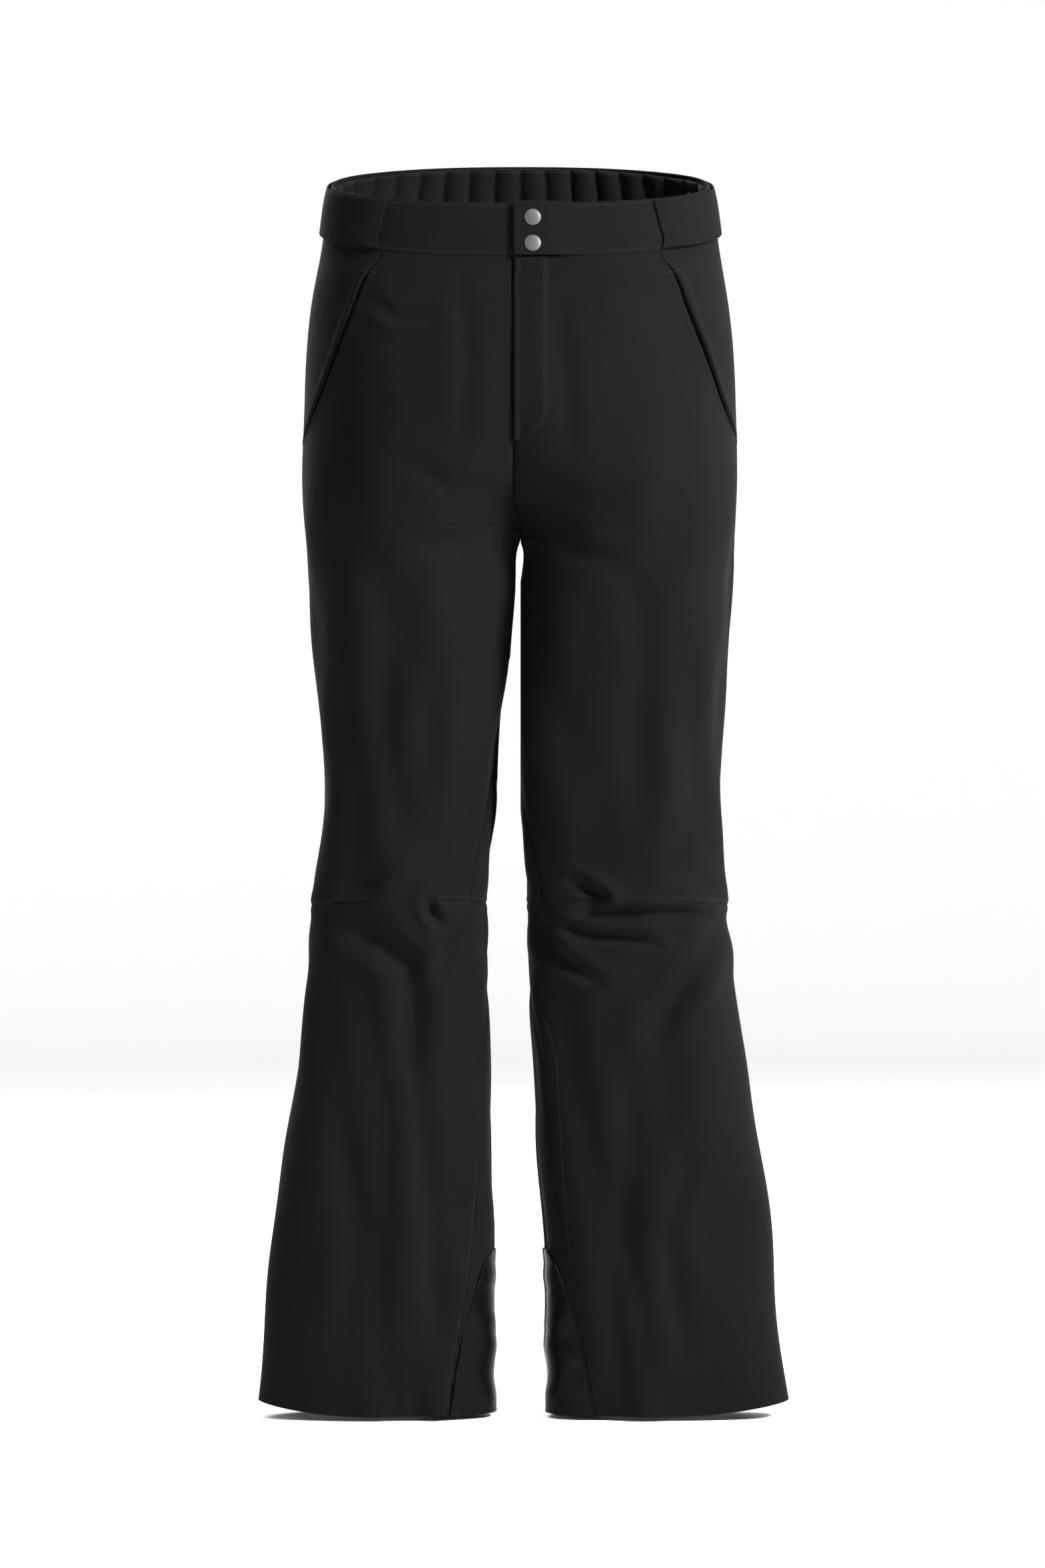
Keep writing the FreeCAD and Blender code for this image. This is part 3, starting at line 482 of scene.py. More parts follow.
def cloth_uv(tree):
    return node(tree, "ShaderNodeUVMap", uv_map="cloth").outputs["UV"]


def object_place(tree):
    return node(tree, "ShaderNodeTexCoord").outputs["Object"]


def mix_colour(tree, factor, a, b):
    made = tree.nodes.new("ShaderNodeMix")
    made.data_type = "RGBA"
    tree.links.new(factor, made.inputs["Factor"])
    for key, value in (("A", a), ("B", b)):
        socket = next(s for s in made.inputs if s.name == key and s.type == "RGBA")
        if isinstance(value, tuple):
            socket.default_value = (*value, 1)
        else:
            tree.links.new(value, socket)
    return next(s for s in made.outputs if s.type == "RGBA")


def add_bump(tree, shader, height, strength, distance):
    bump = node(tree, "ShaderNodeBump", Strength=strength, Distance=distance)
    tree.links.new(height, bump.inputs["Height"])
    tree.links.new(bump.outputs[0], shader.inputs["Normal"])


def noise(tree, vector, scale, detail=4.0, roughness=0.55):
    made = node(tree, "ShaderNodeTexNoise", Scale=scale, Detail=detail, Roughness=roughness)
    tree.links.new(vector, made.inputs["Vector"])
    return made.outputs["Fac"]


WAVES_PER_UNIT = 3.2
SPECULAR = 0.035


def weave_height(tree, uv, threads):
    """A plain weave from two crossed waves, threads to the metre each way."""
    waves = []
    for direction in ("X", "Y"):
        looks = {"Distortion": 1.2, "Detail": 1.0, "Detail Scale": 2.0}
        wave = node(tree, "ShaderNodeTexWave", bands_direction=direction, **looks)
        wave.inputs["Scale"].default_value = threads / WAVES_PER_UNIT
        tree.links.new(uv, wave.inputs["Vector"])
        waves.append(wave.outputs["Fac"])
    return math_node(tree, "MULTIPLY", *waves)


def cloth_material(name, dark, light, roughness, sheen, threads, grain=0.12, paints_seam_shade=False):
    """Woven cloth: soft patches of colour, flecks, a fine weave and, on cloth with seams, painted shade
    in the seam grooves.
    """
    looks = {"Sheen Weight": sheen, "Sheen Roughness": 0.45, "Sheen Tint": (0.86, 0.8, 0.88, 1)}
    looks["Specular IOR Level"] = SPECULAR
    material, tree, shader = new_material(name, dark, roughness, looks)
    place = object_place(tree)
    patches = noise(tree, place, 9.0, 5.0)
    flecks = noise(tree, place, 900.0, 2.0)
    weave = weave_height(tree, cloth_uv(tree), threads)
    tone = scaled(tree, scaled(tree, patches, 1.5, -0.25), 0.6)
    for detail, share in ((flecks, grain), (weave, 0.18)):
        tone = math_node(tree, "ADD", tone, scaled(tree, detail, share), True)
    colour = mix_colour(tree, tone, dark, light)
    height = math_node(tree, "ADD", weave, scaled(tree, flecks, 0.7))
    # Painted shade: cloth within about a millimetre of a seam is darkened to stand for the shade in the
    # seam's groove.
    if paints_seam_shade:
        distance = node(tree, "ShaderNodeAttribute", attribute_name="seam_distance").outputs["Fac"]
        ends = {"From Min": 0.2, "From Max": 1.2, "To Min": 1.0, "To Max": 0.0}
        ramp = node(tree, "ShaderNodeMapRange", interpolation_type="SMOOTHSTEP", **ends)
        tree.links.new(math_node(tree, "ABSOLUTE", distance), ramp.inputs["Value"])
        line = scaled(tree, ramp.outputs[0], 0.75)
        colour = mix_colour(tree, line, colour, tuple(0.3 * v for v in dark))
    tree.links.new(colour, shader.inputs["Base Color"])
    tree.links.new(scaled(tree, patches, 0.12, roughness - 0.06), shader.inputs["Roughness"])
    add_bump(tree, shader, height, 0.35, 0.12 * MM)
    return material


def coated_material():
    """The hem guard's glossy coated cloth: a dark green-black film, finely crumpled and scuffed."""
    looks = {"Specular IOR Level": SPECULAR, "Coat Weight": 0.02, "Coat Roughness": 0.25}
    material, tree, shader = new_material("coated_cloth", (0.009, 0.012, 0.011), 0.3, looks)
    place = object_place(tree)
    crumple = noise(tree, place, 70.0, 6.0, 0.6)
    scuffs = noise(tree, place, 420.0, 3.0, 0.7)
    weave = weave_height(tree, cloth_uv(tree), 1400)
    colour = mix_colour(tree, crumple, (0.0005, 0.0007, 0.00062), (0.0014, 0.0018, 0.0016))
    tree.links.new(colour, shader.inputs["Base Color"])
    tree.links.new(scaled(tree, scuffs, 0.3, 0.2), shader.inputs["Roughness"])
    height = math_node(tree, "ADD", scaled(tree, crumple, 4.0), scaled(tree, weave, 0.3))
    add_bump(tree, shader, height, 0.5, 0.4 * MM)
    return material


def metal_material(name, dark, light, roughness, speckle):
    """Lacquered metal with a fine speckle and a cloudy polish."""
    material, tree, shader = new_material(name, dark, roughness, {"Metallic": 0.55})
    place = object_place(tree)
    grains = noise(tree, place, speckle, 2.0, 0.8)
    clouds = noise(tree, place, 350.0, 3.0)
    ramp = node(tree, "ShaderNodeMapRange", **{"From Min": 0.42, "From Max": 0.66})
    tree.links.new(grains, ramp.inputs["Value"])
    colour = mix_colour(tree, ramp.outputs[0], dark, light)
    tree.links.new(colour, shader.inputs["Base Color"])
    tree.links.new(scaled(tree, clouds, 0.25, roughness - 0.12), shader.inputs["Roughness"])
    add_bump(tree, shader, grains, 0.4, 0.05 * MM)
    return material


def ribbed_material(name, dark, light, ribs):
    """Elastic or tape with raised ribs."""
    looks = {"Sheen Weight": 0.02, "Specular IOR Level": 0.1}
    material, tree, shader = new_material(name, dark, 0.8, looks)
    rib = node(tree, "ShaderNodeTexWave", Scale=ribs / WAVES_PER_UNIT)
    tree.links.new(cloth_uv(tree), rib.inputs["Vector"])
    colour = mix_colour(tree, rib.outputs["Fac"], dark, light)
    tree.links.new(colour, shader.inputs["Base Color"])
    add_bump(tree, shader, rib.outputs["Fac"], 0.6, 0.3 * MM)
    return material


PLUM_BLACK = (0.0018, 0.00145, 0.0018), (0.0043, 0.0035, 0.0043)
QUILT_BLACK = (0.0017, 0.0016, 0.0019), (0.0042, 0.0038, 0.0044)
PILE_BLACK = (0.0025, 0.0025, 0.003), (0.008, 0.008, 0.0088)
SHELL = cloth_material("softshell", *PLUM_BLACK, 0.85, 0.007, 1100, paints_seam_shade=True)
BAND_CLOTH = cloth_material("band_softshell", *PLUM_BLACK, 0.85, 0.007, 1100)
QUILT_CLOTH = cloth_material("quilted_tricot", *QUILT_BLACK, 0.8, 0.01, 1700)
LINING = cloth_material("lining_cloth", (0.006, 0.006, 0.0065), (0.014, 0.014, 0.0155), 0.7, 0.02, 1500)
LABEL = cloth_material("label_satin", (0.2, 0.2, 0.19), (0.32, 0.32, 0.31), 0.5, 0.02, 2200)
PILE = cloth_material("hook_and_loop", *PILE_BLACK, 0.95, 0.03, 700, grain=0.5)
COATED = coated_material()
THREAD = cloth_material("thread", (0.009, 0.008, 0.009), (0.022, 0.019, 0.022), 0.7, 0.05, 3000)
GUNMETAL = metal_material("gunmetal", (0.026, 0.027, 0.0285), (0.088, 0.09, 0.094), 0.5, 2600.0)
BLACK_METAL = metal_material("black_metal", (0.008, 0.008, 0.009), (0.02, 0.02, 0.022), 0.55, 1800.0)
ELASTIC = ribbed_material("elastic", (0.006, 0.006, 0.0065), (0.016, 0.016, 0.0175), 500)
ZIP_TAPE = ribbed_material("zip_tape", (0.004, 0.004, 0.0045), (0.011, 0.011, 0.012), 900)
RUBBER = cloth_material("pull_rubber", (0.012, 0.012, 0.013), (0.028, 0.028, 0.03), 0.55, 0.0, 900)


# ------------------------------------------------------------ folds and seams of the shell

# Seams in front view as lines of (x, z), for the left leg; the right leg's are mirrored.
SEAMS = (
    ((0.018, -0.638), (0.045, -0.634), (0.073, -0.634)),
    ((0.136, -0.635), (0.16, -0.636), (0.19, -0.639)),
    ((0.012, -0.505), (0.022, -0.55), (0.035, -0.612), (0.038, -0.636)),
    (
        *((0.022, -0.69), (0.033, -0.78), (0.038, -0.87)),
        *((0.042, -0.935), (0.053, -1.01), (0.066, -1.09)),
    ),
)

# Fold hollows in front view: line of (x, z), depth and half width in mm, and the lip's height.
LEFT_FOLDS = (
    (((0.061, -0.616), (0.078, -0.63), (0.067, -0.641)), 4.2, 5.5, 0.7),
    (((0.058, -0.654), (0.073, -0.645), (0.105, -0.644), (0.163, -0.646)), 3.5, 5.5, 0.7),
    (((0.044, -0.654), (0.07, -0.663), (0.106, -0.667), (0.118, -0.671)), 3.2, 5.0, 0.7),
    (((0.034, -0.645), (0.037, -0.662), (0.05, -0.684), (0.074, -0.702)), 3.7, 6.5, 0.7),
    (((0.177, -0.651), (0.162, -0.682), (0.135, -0.722), (0.12, -0.75)), 4.0, 9.5, 0.6),
    (((0.15, -0.57), (0.13, -0.6), (0.1, -0.615)), 1.6, 9.0, 0.4),
    (((0.03, -0.31), (0.055, -0.33), (0.085, -0.338)), 2.0, 9.0, 0.5),
    (((0.026, -0.28), (0.06, -0.285), (0.1, -0.27)), 1.4, 9.0, 0.4),
    (((0.15, -0.84), (0.13, -0.93), (0.14, -1.03)), 2.2, 12.0, 0.3),
    (((0.095, -0.76), (0.1, -0.86), (0.085, -0.98)), 1.8, 12.0, 0.3),
    (((0.1, -0.36), (0.11, -0.45), (0.105, -0.55)), 1.8, 14.0, 0.3),
    (((0.045, -0.25), (0.04, -0.2), (0.035, -0.12)), 1.2, 10.0, 0.3),
)
RIGHT_FOLDS = (
    (((0.078, -0.634), (0.074, -0.646), (0.065, -0.653)), 4.0, 5.5, 0.7),
    (
        ((0.169, -0.648), (0.13, -0.668), (0.096, -0.69), (0.092, -0.74), (0.095, -0.775)),
        *(4.6, 12.5, 0.6),
    ),
    (((0.165, -0.625), (0.14, -0.62), (0.115, -0.605)), 1.8, 8.0, 0.5),
    (((0.04, -0.66), (0.06, -0.675), (0.07, -0.7)), 2.8, 7.0, 0.5),
    (((0.032, -0.305), (0.055, -0.322), (0.09, -0.325)), 2.0, 9.0, 0.5),
    (((0.028, -0.27), (0.065, -0.272), (0.1, -0.25)), 1.4, 9.0, 0.4),
    (((0.13, -0.11), (0.11, -0.125), (0.08, -0.122)), 1.2, 6.0, 0.6),
    (((0.16, -0.82), (0.145, -0.92), (0.155, -1.04)), 2.2, 12.0, 0.3),
    (((0.09, -0.78), (0.085, -0.88), (0.075, -1.0)), 1.8, 12.0, 0.3),
    (((0.12, -0.34), (0.12, -0.44), (0.11, -0.56)), 1.8, 14.0, 0.3),
    (((0.05, -0.23), (0.045, -0.16), (0.05, -0.1)), 1.2, 10.0, 0.3),
)


# How far each leg's inner side hangs towards the other leg, as (z, millimetres).
LEFT_HANG = (
    *((-1.0, 0), (-0.94, 2), (-0.885, 9), (-0.79, 12), (-0.70, 17)),
    *((-0.61, 18), (-0.5, 18), (-0.416, 14), (-0.36, 8), (-0.315, 0)),
)
RIGHT_HANG = ((-0.9, 0), (-0.79, -3), (-0.70, -4), (-0.62, -6), (-0.5, -6), (-0.42, 0))


def inner_hang(points, side):
    """How far points of a leg hang inwards, in metres."""
    heights, shifts = np.array(LEFT_HANG if side > 0 else RIGHT_HANG).T
    z = points[..., 2]
    span = np.linspace(heights[0], heights[-1], 200)
    reach = 12
    padded = np.pad(np.interp(span, heights, shifts), reach, mode="edge")
    smooth = np.convolve(padded, np.ones(2 * reach + 1) / (2 * reach + 1), "valid")
    amount = np.interp(z, span, smooth, left=0, right=0) * MM
    middle, half, _, _ = form_at(z)
    return amount * ease((points[..., 0] - middle) / half, 0.35, -0.95)


# Folds across the back of a leg: level, depth in millimetres and the phase of its wave.
BACK_FOLDS = (
    *((-0.60, 2.0, 0.4), (-0.625, 2.6, 1.3), (-0.652, 2.4, 2.1)),
    *((-0.31, 1.8, 0.9), (-0.335, 1.6, 2.6)),
)


def distance_to_line(x, z, line):
    """Signed distance to a line in front view, and the share of the line at the nearest place."""
    line = np.array(line)
    steps = np.linalg.norm(np.diff(line, axis=0), axis=1)
    before = np.concatenate([[0], np.cumsum(steps)])
    best, share, sign = np.full(x.shape, 1.0), np.zeros(x.shape), np.ones(x.shape)
    for k in range(len(line) - 1):
        (ax, az), (bx, bz) = line[k], line[k + 1]
        dx, dz = bx - ax, bz - az
        u = np.clip(((x - ax) * dx + (z - az) * dz) / steps[k] ** 2, 0, 1)
        gap = np.hypot(x - ax - u * dx, z - az - u * dz)
        nearer = gap < best
        best = np.where(nearer, gap, best)
        share = np.where(nearer, (before[k] + u * steps[k]) / before[-1], share)
        sign = np.where(nearer, np.sign(dx * (z - az) - dz * (x - ax)), sign)
    return best * sign, share


def bell(x, width):
    return np.exp(-((x / width) ** 2))


WAVE_COUNT = 26
SOFT_HEIGHT = 8.5 * MM
FOLD_GAIN = 1.7
KNEE = -0.645
BACK_FOLD_HALF = 6.5 * MM
WAVES = []
for _ in range(WAVE_COUNT):
    reach = RNG.uniform(0.035, 0.12)
    turn = RNG.normal(0, 0.5)
    phases = RNG.uniform(0, 2 * math.pi), RNG.uniform(0, 2 * math.pi)
    WAVES.append((reach, turn, *phases, RNG.uniform(0.05, 0.16)))


def drape(points, side):
    """How far the hung cloth stands off the wearer's form, in metres along its normal."""
    x, y, z = points[..., 0], points[..., 1], points[..., 2]
    around = np.arctan2(y, x - 0.1) * 0.085 + 0.02 * side
    soft = np.zeros(x.shape)
    for reach, turn, phase, other, tall in WAVES:
        u = math.cos(turn) * around / reach + math.sin(turn) * z / (2.5 * reach)
        bend = 1.2 * np.sin(z / tall + other + side)
        swell = 0.6 + 0.4 * np.sin(z / tall * 1.7 + phase)
        soft += reach * np.sin(2 * math.pi * u + phase + bend) * swell
    calm_hips = 0.35 + 0.65 * ease(z, -0.2, -0.4)
    out = SOFT_HEIGHT * soft * calm_hips * ease(z, -0.052, -0.11)
    knee = bell(z - KNEE, 0.05) * 0.8 * MM
    out = out + knee * np.sin(around / 0.011 + 3 * np.sin(z / 0.02))
    front = ease(y, 0.03, -0.01)
    for line, deep, wide, lip in LEFT_FOLDS if side > 0 else RIGHT_FOLDS:
        gap, share = distance_to_line(x, z, line)
        gap = gap / (wide * MM)
        fade = np.sin(math.pi * np.clip(0.06 + 0.88 * share, 0, 1)) ** 0.7
        shape = lip * (bell(gap - 1.7, 1.1) + 0.6 * bell(gap + 1.9, 1.2)) - bell(gap, 1.0)
        out = out + FOLD_GAIN * deep * MM * fade * shape * front
    behind = ease(y, -0.01, 0.03)
    for level, high, wave in BACK_FOLDS:
        gap = (z - level - 0.009 * np.sin(x * 26 + wave)) / BACK_FOLD_HALF
        shape = 0.6 * bell(gap - 1.6, 1.0) - bell(gap, 1.0)
        out = out + high * MM * behind * shape * bell(x - 0.1, 0.07)
    return out


def to_fly_edge(points):
    """Moves the centre front seam to the fly's edge, between the fly's foot and the crotch."""
    x, y, z = points[..., 0], points[..., 1], points[..., 2]
    near = bell(x, 0.035) * ease(y, 0.02, -0.02) * ease(z, CROTCH + 0.004, CROTCH + 0.026)
    moved = points.copy()
    moved[..., 0] += FLY_EDGE * near
    return moved


def seam_relief(gap_mm):
    """A sewn seam: a narrow groove between two soft ridges."""
    return MM * (0.35 * bell(np.abs(gap_mm) - 4.0, 2.4) - 0.9 * bell(gap_mm, 1.2))


def dressed(rest, side, borders):
    """A panel's cloth and its distance in millimetres to the nearest seam.

    borders are distances to the panel's own edges."""
    normal = form_normals(rest)
    off = drape(rest, side)
    x, y, z = rest[..., 0], rest[..., 1], rest[..., 2]
    above_crotch = ease(z, CROTCH - 0.02, CROTCH + 0.002)
    off = off + (drape(rest, -side) - off) / 2 * bell(x, 0.03) * above_crotch
    nearest = np.full(x.shape, FAR_MM)
    for line in SEAMS:
        gap, _ = distance_to_line(x, z, line)
        gap = np.where(y < SIDE_SEAM_Y + 0.1 * MM, np.abs(gap) / MM, FAR_MM)
        off = off + seam_relief(gap)
        nearest = np.minimum(nearest, gap)
    for gap in borders:
        off = off + seam_relief(gap / MM)
        nearest = np.minimum(nearest, gap / MM)
    cloth = rest + normal * off[..., None]
    cloth[..., 0] -= inner_hang(rest, side)
    inner = 0 if rest[-1, 0, 0] < rest[-1, -1, 0] else -1
    if rest[-1, inner, 0] < 0.05:
        from_middle = lengths_along(rest, 1)
        from_middle = np.abs(from_middle - from_middle[:, inner][:, None])
        miss = (cloth[:, inner, 0] * above_crotch[:, inner])[:, None]
        cloth[..., 0] -= miss * np.exp(-from_middle / 0.012)
        cloth[..., 0] = np.maximum(cloth[..., 0], 0.0)
    return cloth, nearest


def down_pocket(z):
    """The share of the pocket opening that lies above a height."""
    return (POCKET_TOP - z) / (POCKET_TOP - POCKET_FOOT)


def pocket_rise(h):
    """How far a sloping level stands above the pocket's height that it passes."""
    return WAIST_RISE * float(ease(h, *SLOPE_FADE))


def pocket_edge(h):
    """The pocket line's x at a level, running into the side seam below the pocket."""
    return 0.132 + 0.058 * min(max(down_pocket(h), -0.25), 1.2)


def pocket_angle(shift):
    """The angle of the pocket line at a level, moved outwards by shift where the pocket gapes."""

    def angle(h):
        z = h - pocket_rise(h)
        inside = math.sin(math.pi * min(max(down_pocket(z), 0), 1)) ** 0.6
        line = float(angle_of_x(min(pocket_edge(z) + shift * inside, 0.2), h))
        return line + (side_seam(h) - line) * float(ease(z, -0.215, -0.256))

    return angle


def inner_front(h):
    return centre_front(h) if h > CROTCH else -math.pi


def inner_back(h):
    return centre_back(h) if h > CROTCH else math.pi


def hip_blend(obj, side_name):
    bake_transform(obj)


def knee_blend(obj, side_name):
    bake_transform(obj)


SIDES = (("left", 1), ("right", -1))
shells = {}
UPPER_LEVELS = np.arange(-BAND, MID_THIGH, -STEP)
UPPER_LEVELS = np.append(UPPER_LEVELS, MID_THIGH)
LOWER_LEVELS = np.linspace(MID_THIGH, HEM, 232)
LEVELS = np.concatenate([UPPER_LEVELS, LOWER_LEVELS[1:]])


def edge_gaps(rest):
    """Distances from a panel's first column and from its last."""
    run = lengths_along(rest, 1)
    return [run, run[:, -1:] - run]


def pocket_share(z):
    """1 along the pocket opening and 0 above and below it."""
    return ease(z, POCKET_FOOT - 0.01, POCKET_FOOT + 0.01) * ease(z, POCKET_TOP + 0.012, POCKET_TOP)


def finish_panel(key, obj, blend, side_name, nodes):
    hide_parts(*(f"{side_name}_{node_name}" for node_name in nodes))
    blend(obj, side_name)
    shells[f"{side_name}_{key}"] = obj


def leg_panels(side_name, side, key, rest):
    """The upper and lower panel of a leg's front or back."""
    cloth, gap = dressed(rest, side, edge_gaps(rest))
    if key == "front":
        push = 0.9 * MM * pocket_share(rest[..., 2]) * bell(edge_gaps(rest)[1], 4 * MM)
        cloth = cloth + form_normals(rest) * push[..., None]
    normals = mirrored(vertex_normals(cloth), side)
    drawn = to_fly_edge(mirrored(cloth, side))
    hip_nodes = [f"{key}_hip_panel", "groin_section", f"{key}_thigh_panel"]
    shin_nodes = ["knee_section", f"{key}_shin_panel"]
    if key == "front":
        shin_nodes.append("inner_shin_panel")
    split = len(UPPER_LEVELS)
    parts = (
        ("upper", slice(0, split), hip_blend, hip_nodes),
        ("lower", slice(split - 1, None), knee_blend, shin_nodes),
    )
    for part, rows, blend, nodes in parts:
        name = f"{side_name}_{key}_{part}_panel"
        panel = shell_sheet(name, drawn[rows], side, gap[rows], normals[rows])
        finish_panel(f"{key}_{part}", panel, blend, side_name, nodes)


def pocket_insert(side_name, side, rest):
    """The side panel behind the pocket opening, with its welt."""
    run, end_gap = edge_gaps(rest)
    cloth, gap = dressed(rest, side, [end_gap])
    in_pocket = pocket_share(rest[..., 2])
    welt = ease(run, 7.2 * MM, 6.2 * MM) * ease(run, -0.5 * MM, 1.2 * MM)
    lift = 2.0 * MM * welt * in_pocket - 1.0 * MM * bell(run, 0.8 * MM)
    cloth = cloth + form_normals(rest) * lift[..., None]
    gap = np.minimum(gap, np.where(in_pocket > 0.5, np.abs(run / MM - 7.0), FAR_MM))
    insert = shell_sheet(f"{side_name}_pocket_side_panel", mirrored(cloth, side), side, gap)
    finish_panel("insert", insert, hip_blend, side_name, ["side_hip_panel"])


def build_shell():
    gape = 1.6 * MM
    front_rest = rows_between(LEVELS, ((1, inner_front, pocket_angle(-gape)),))
    back_rest = rows_between(LEVELS, ((1, side_seam, inner_back),))
    insert_levels = UPPER_LEVELS[UPPER_LEVELS > INSERT_FOOT]
    insert_rest = rows_between(insert_levels, ((1, pocket_angle(gape), side_seam),))
    for side_name, side in SIDES:
        leg_panels(side_name, side, "front", front_rest)
        leg_panels(side_name, side, "back", back_rest)
        pocket_insert(side_name, side, insert_rest)


build_shell()


# ------------------------------------------------------------ waistband, fly, tabs and guards


def finish_piece(obj, body, slot, *nodes):
    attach(obj, body)
    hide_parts(*nodes)
    return obj


def puckered(base, amount, pitch, seed):
    """Small uneven puckers along a sewn piece."""
    run = lengths_along(base, 1)
    drop = lengths_along(base, 0)
    a = np.sin(run / pitch + seed + 1.5 * np.sin(run / (3.1 * pitch)))
    b = np.sin(drop / (2.3 * pitch) + seed + 2 * np.sin(run / (4.3 * pitch)))
    return amount * a * (0.6 + 0.4 * b)


BAND_LEVELS = edge_levels(0.0, -BAND)
BAND_SPLIT_Y, PAD_END_Y = -0.02, -0.004
BAND_INSIDE, BAND_PROUD = -1.8 * MM, 0.6 * MM


def round_back(y):
    """Spans of both sides' back, from y on the left to y on the right."""
    return (1, at_y(y), centre_back), (-1, centre_back, at_y(y))


def plain_band(name, spans, node_name, *pucker):
    """A part of the waistband that doesn't move."""
    base = rows_between(BAND_LEVELS, spans)
    band = plate(name, base, BAND_INSIDE, BAND_PROUD, BAND_CLOTH, relief=puckered(base, *pucker))
    return finish_piece(band, "hips", "softshell", node_name)


right_spans = (-1, at_y(BAND_SPLIT_Y), centre_front), (1, centre_front, at_x(0.0235))
right_band = plain_band("right_front_band", right_spans, "right_front_waistband", 0.12 * MM, 0.006, 1)

left_spans = (-1, at_x(0.006), centre_front), (1, centre_front, at_y(BAND_SPLIT_Y))
left_base = rows_between(BAND_LEVELS, left_spans)
over = ease(left_base[..., 0], 0.062, 0.017)
left_band = plate(
    "left_front_band",
    left_base,
    (-1.8 + 5.4 * over) * MM,
    (0.6 + 4.8 * over) * MM,
    BAND_CLOTH,
    relief=puckered(left_base, 0.12 * MM, 0.006, 4) * (1 - over),
)
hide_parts("left_front_waistband", "closure_flap")
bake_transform(left_band)

back_band = plain_band("back_band", round_back(BAND_SPLIT_Y), "back_waistband", 0.25 * MM, 0.0042, 2)

elastic_base = rows_between(edge_levels(-0.004, -0.041), round_back(PAD_END_Y))
elastic = plate("waist_elastic_strip", elastic_base, -3.1 * MM, -2.1 * MM, ELASTIC)
finish_piece(elastic, "hips", "elastic_tape", "waist_elastic")


def quilted_lining():
    """The padded lining behind the waist: vertical channels with stitched valleys between them."""
    channel_width, step = 0.024, 2.0 * MM
    base = rows_between(edge_levels(-0.002, -0.058, step), round_back(PAD_END_Y), step)
    run, drop = lengths_along(base, 1), lengths_along(base, 0)
    pitch = run[:, -1:] / round(float(run[:, -1].mean()) / channel_width)
    cell = np.floor(run / pitch)
    phase = run / pitch + 0.012 * np.sin(drop / 0.008 + cell * 2.1)
    channel = np.abs(np.sin(math.pi * phase)) ** 0.55
    seam = 1 - channel
    pucker = 0.5 * MM * np.sin(drop / 0.0028 + 4 * cell) * bell(seam - 0.65, 0.25)
    slump = 0.5 + 0.5 * np.sin(cell * 1.7 + drop / 0.02)
    inner = -(4.4 + 4.7 * channel + 0.3 * slump * channel) * MM + pucker
    inner = np.clip(inner, -9.4 * MM, -4.2 * MM)
    lining = plate("back_quilted_pad", base, inner, -3.5 * MM, QUILT_CLOTH, edge=3.0 * MM)
    finish_piece(lining, "hips", "quilted_lining", "back_quilted_lining")
    return lining


quilt = quilted_lining()


def fly_right_edge(h):
    """The stitched side of the fly flap, which turns to the edge at its foot."""
    turn = 0.028
    below = min(max((FLY_FOOT + turn - h) / turn, 0), 1)
    return FLY_STITCH - turn * (1 - math.sqrt(max(0.0, 1 - below * below)))


def fly_flap():
    """The fly's flap laid on the left side's draped cloth, and the line of its stitching."""
    levels = edge_levels(-BAND - 0.0005, FLY_FOOT)
    stitched_end = at_x(lambda h: max(fly_right_edge(h), 0.0))
    spans = (-1, at_x(-FLY_EDGE), centre_front), (1, centre_front, stitched_end)
    base = rows_between(levels, spans, 1.6 * MM)
    from_stitch = lengths_along(base, 1)
    from_stitch = from_stitch[:, -1:] - from_stitch
    rise = ease(from_stitch, 0.0, 0.005)
    high = (0.45 + 2.3 * rise) * MM
    draped = base + vertex_normals(base) * drape(base, 1)[..., None]
    flap = plate("fly_front_flap", draped, 0.1 * MM, high, BAND_CLOTH, edge=1.3 * MM)
    finish_piece(flap, "hips", "softshell", "fly_flap")
    inset, last_level = 0.0034, FLY_FOOT + 0.0035
    line = []
    for h in np.linspace(-BAND - 0.002, last_level, 90):
        line.append(surface(h, angle_of_x(max(fly_right_edge(h) - inset, 0.0), h)))
    line.append(surface(last_level, centre_front(FLY_FOOT)) + [-0.004, 0, -0.0002])
    return [np.array(line)], [flap]


fly = fly_flap()


def tab_seam_x(h):
    """The slanted seam at which a side tab starts."""
    return 0.1155 + 0.012 * (-h / BAND)


def side_tab(side_name, side):
    levels = edge_levels(-0.0025, -BAND + 0.0012)
    base = rows_between(levels, ((1, at_x(tab_seam_x), at_y(0.054)),))
    run, drop = lengths_along(base, 1), lengths_along(base, 0)
    free = ease(run, 0.001, 0.012)
    sag = ease(drop / drop[-1:], 0.55, 1.0) * 1.2 * MM * bell(run - 0.035, 0.03)
    tab = plate(
        f"{side_name}_side_tab",
        base,
        (0.75 + 1.65 * free) * MM + sag,
        (2.6 + 1.5 * free) * MM + sag,
        BAND_CLOTH,
        side,
        relief=puckered(base, 0.15 * MM, 0.007, 3 + side),
    )
    finish_piece(tab, f"{side_name}_tab", "softshell", f"{side_name}_waist_tab")
    inset = int(4 * MM / STEP)
    rows = [1 + inset, len(levels) - 2 - inset]
    lines = [base[k, 3:-4] for k in rows] + [base[rows[0] : rows[1], -5], base[3:-3, 3]]
    return [mirrored(line, side) for line in lines], [tab]


def pile_strip(side_name, side, kind, body, levels, ends, offsets):
    """A strip of hook or loop, between two levels, two depths and two offsets in millimetres."""
    spans = ((1, at_y(ends[0]), at_y(ends[1])),)
    base = rows_between(edge_levels(*levels), spans)
    low, high = (offset * MM for offset in offsets)
    strip = plate(f"{side_name}_{kind}_strip", base, low, high, PILE, side, edge=0.4 * MM)
    finish_piece(strip, body, "hook_and_loop", f"{side_name}_tab_{kind}_patch")


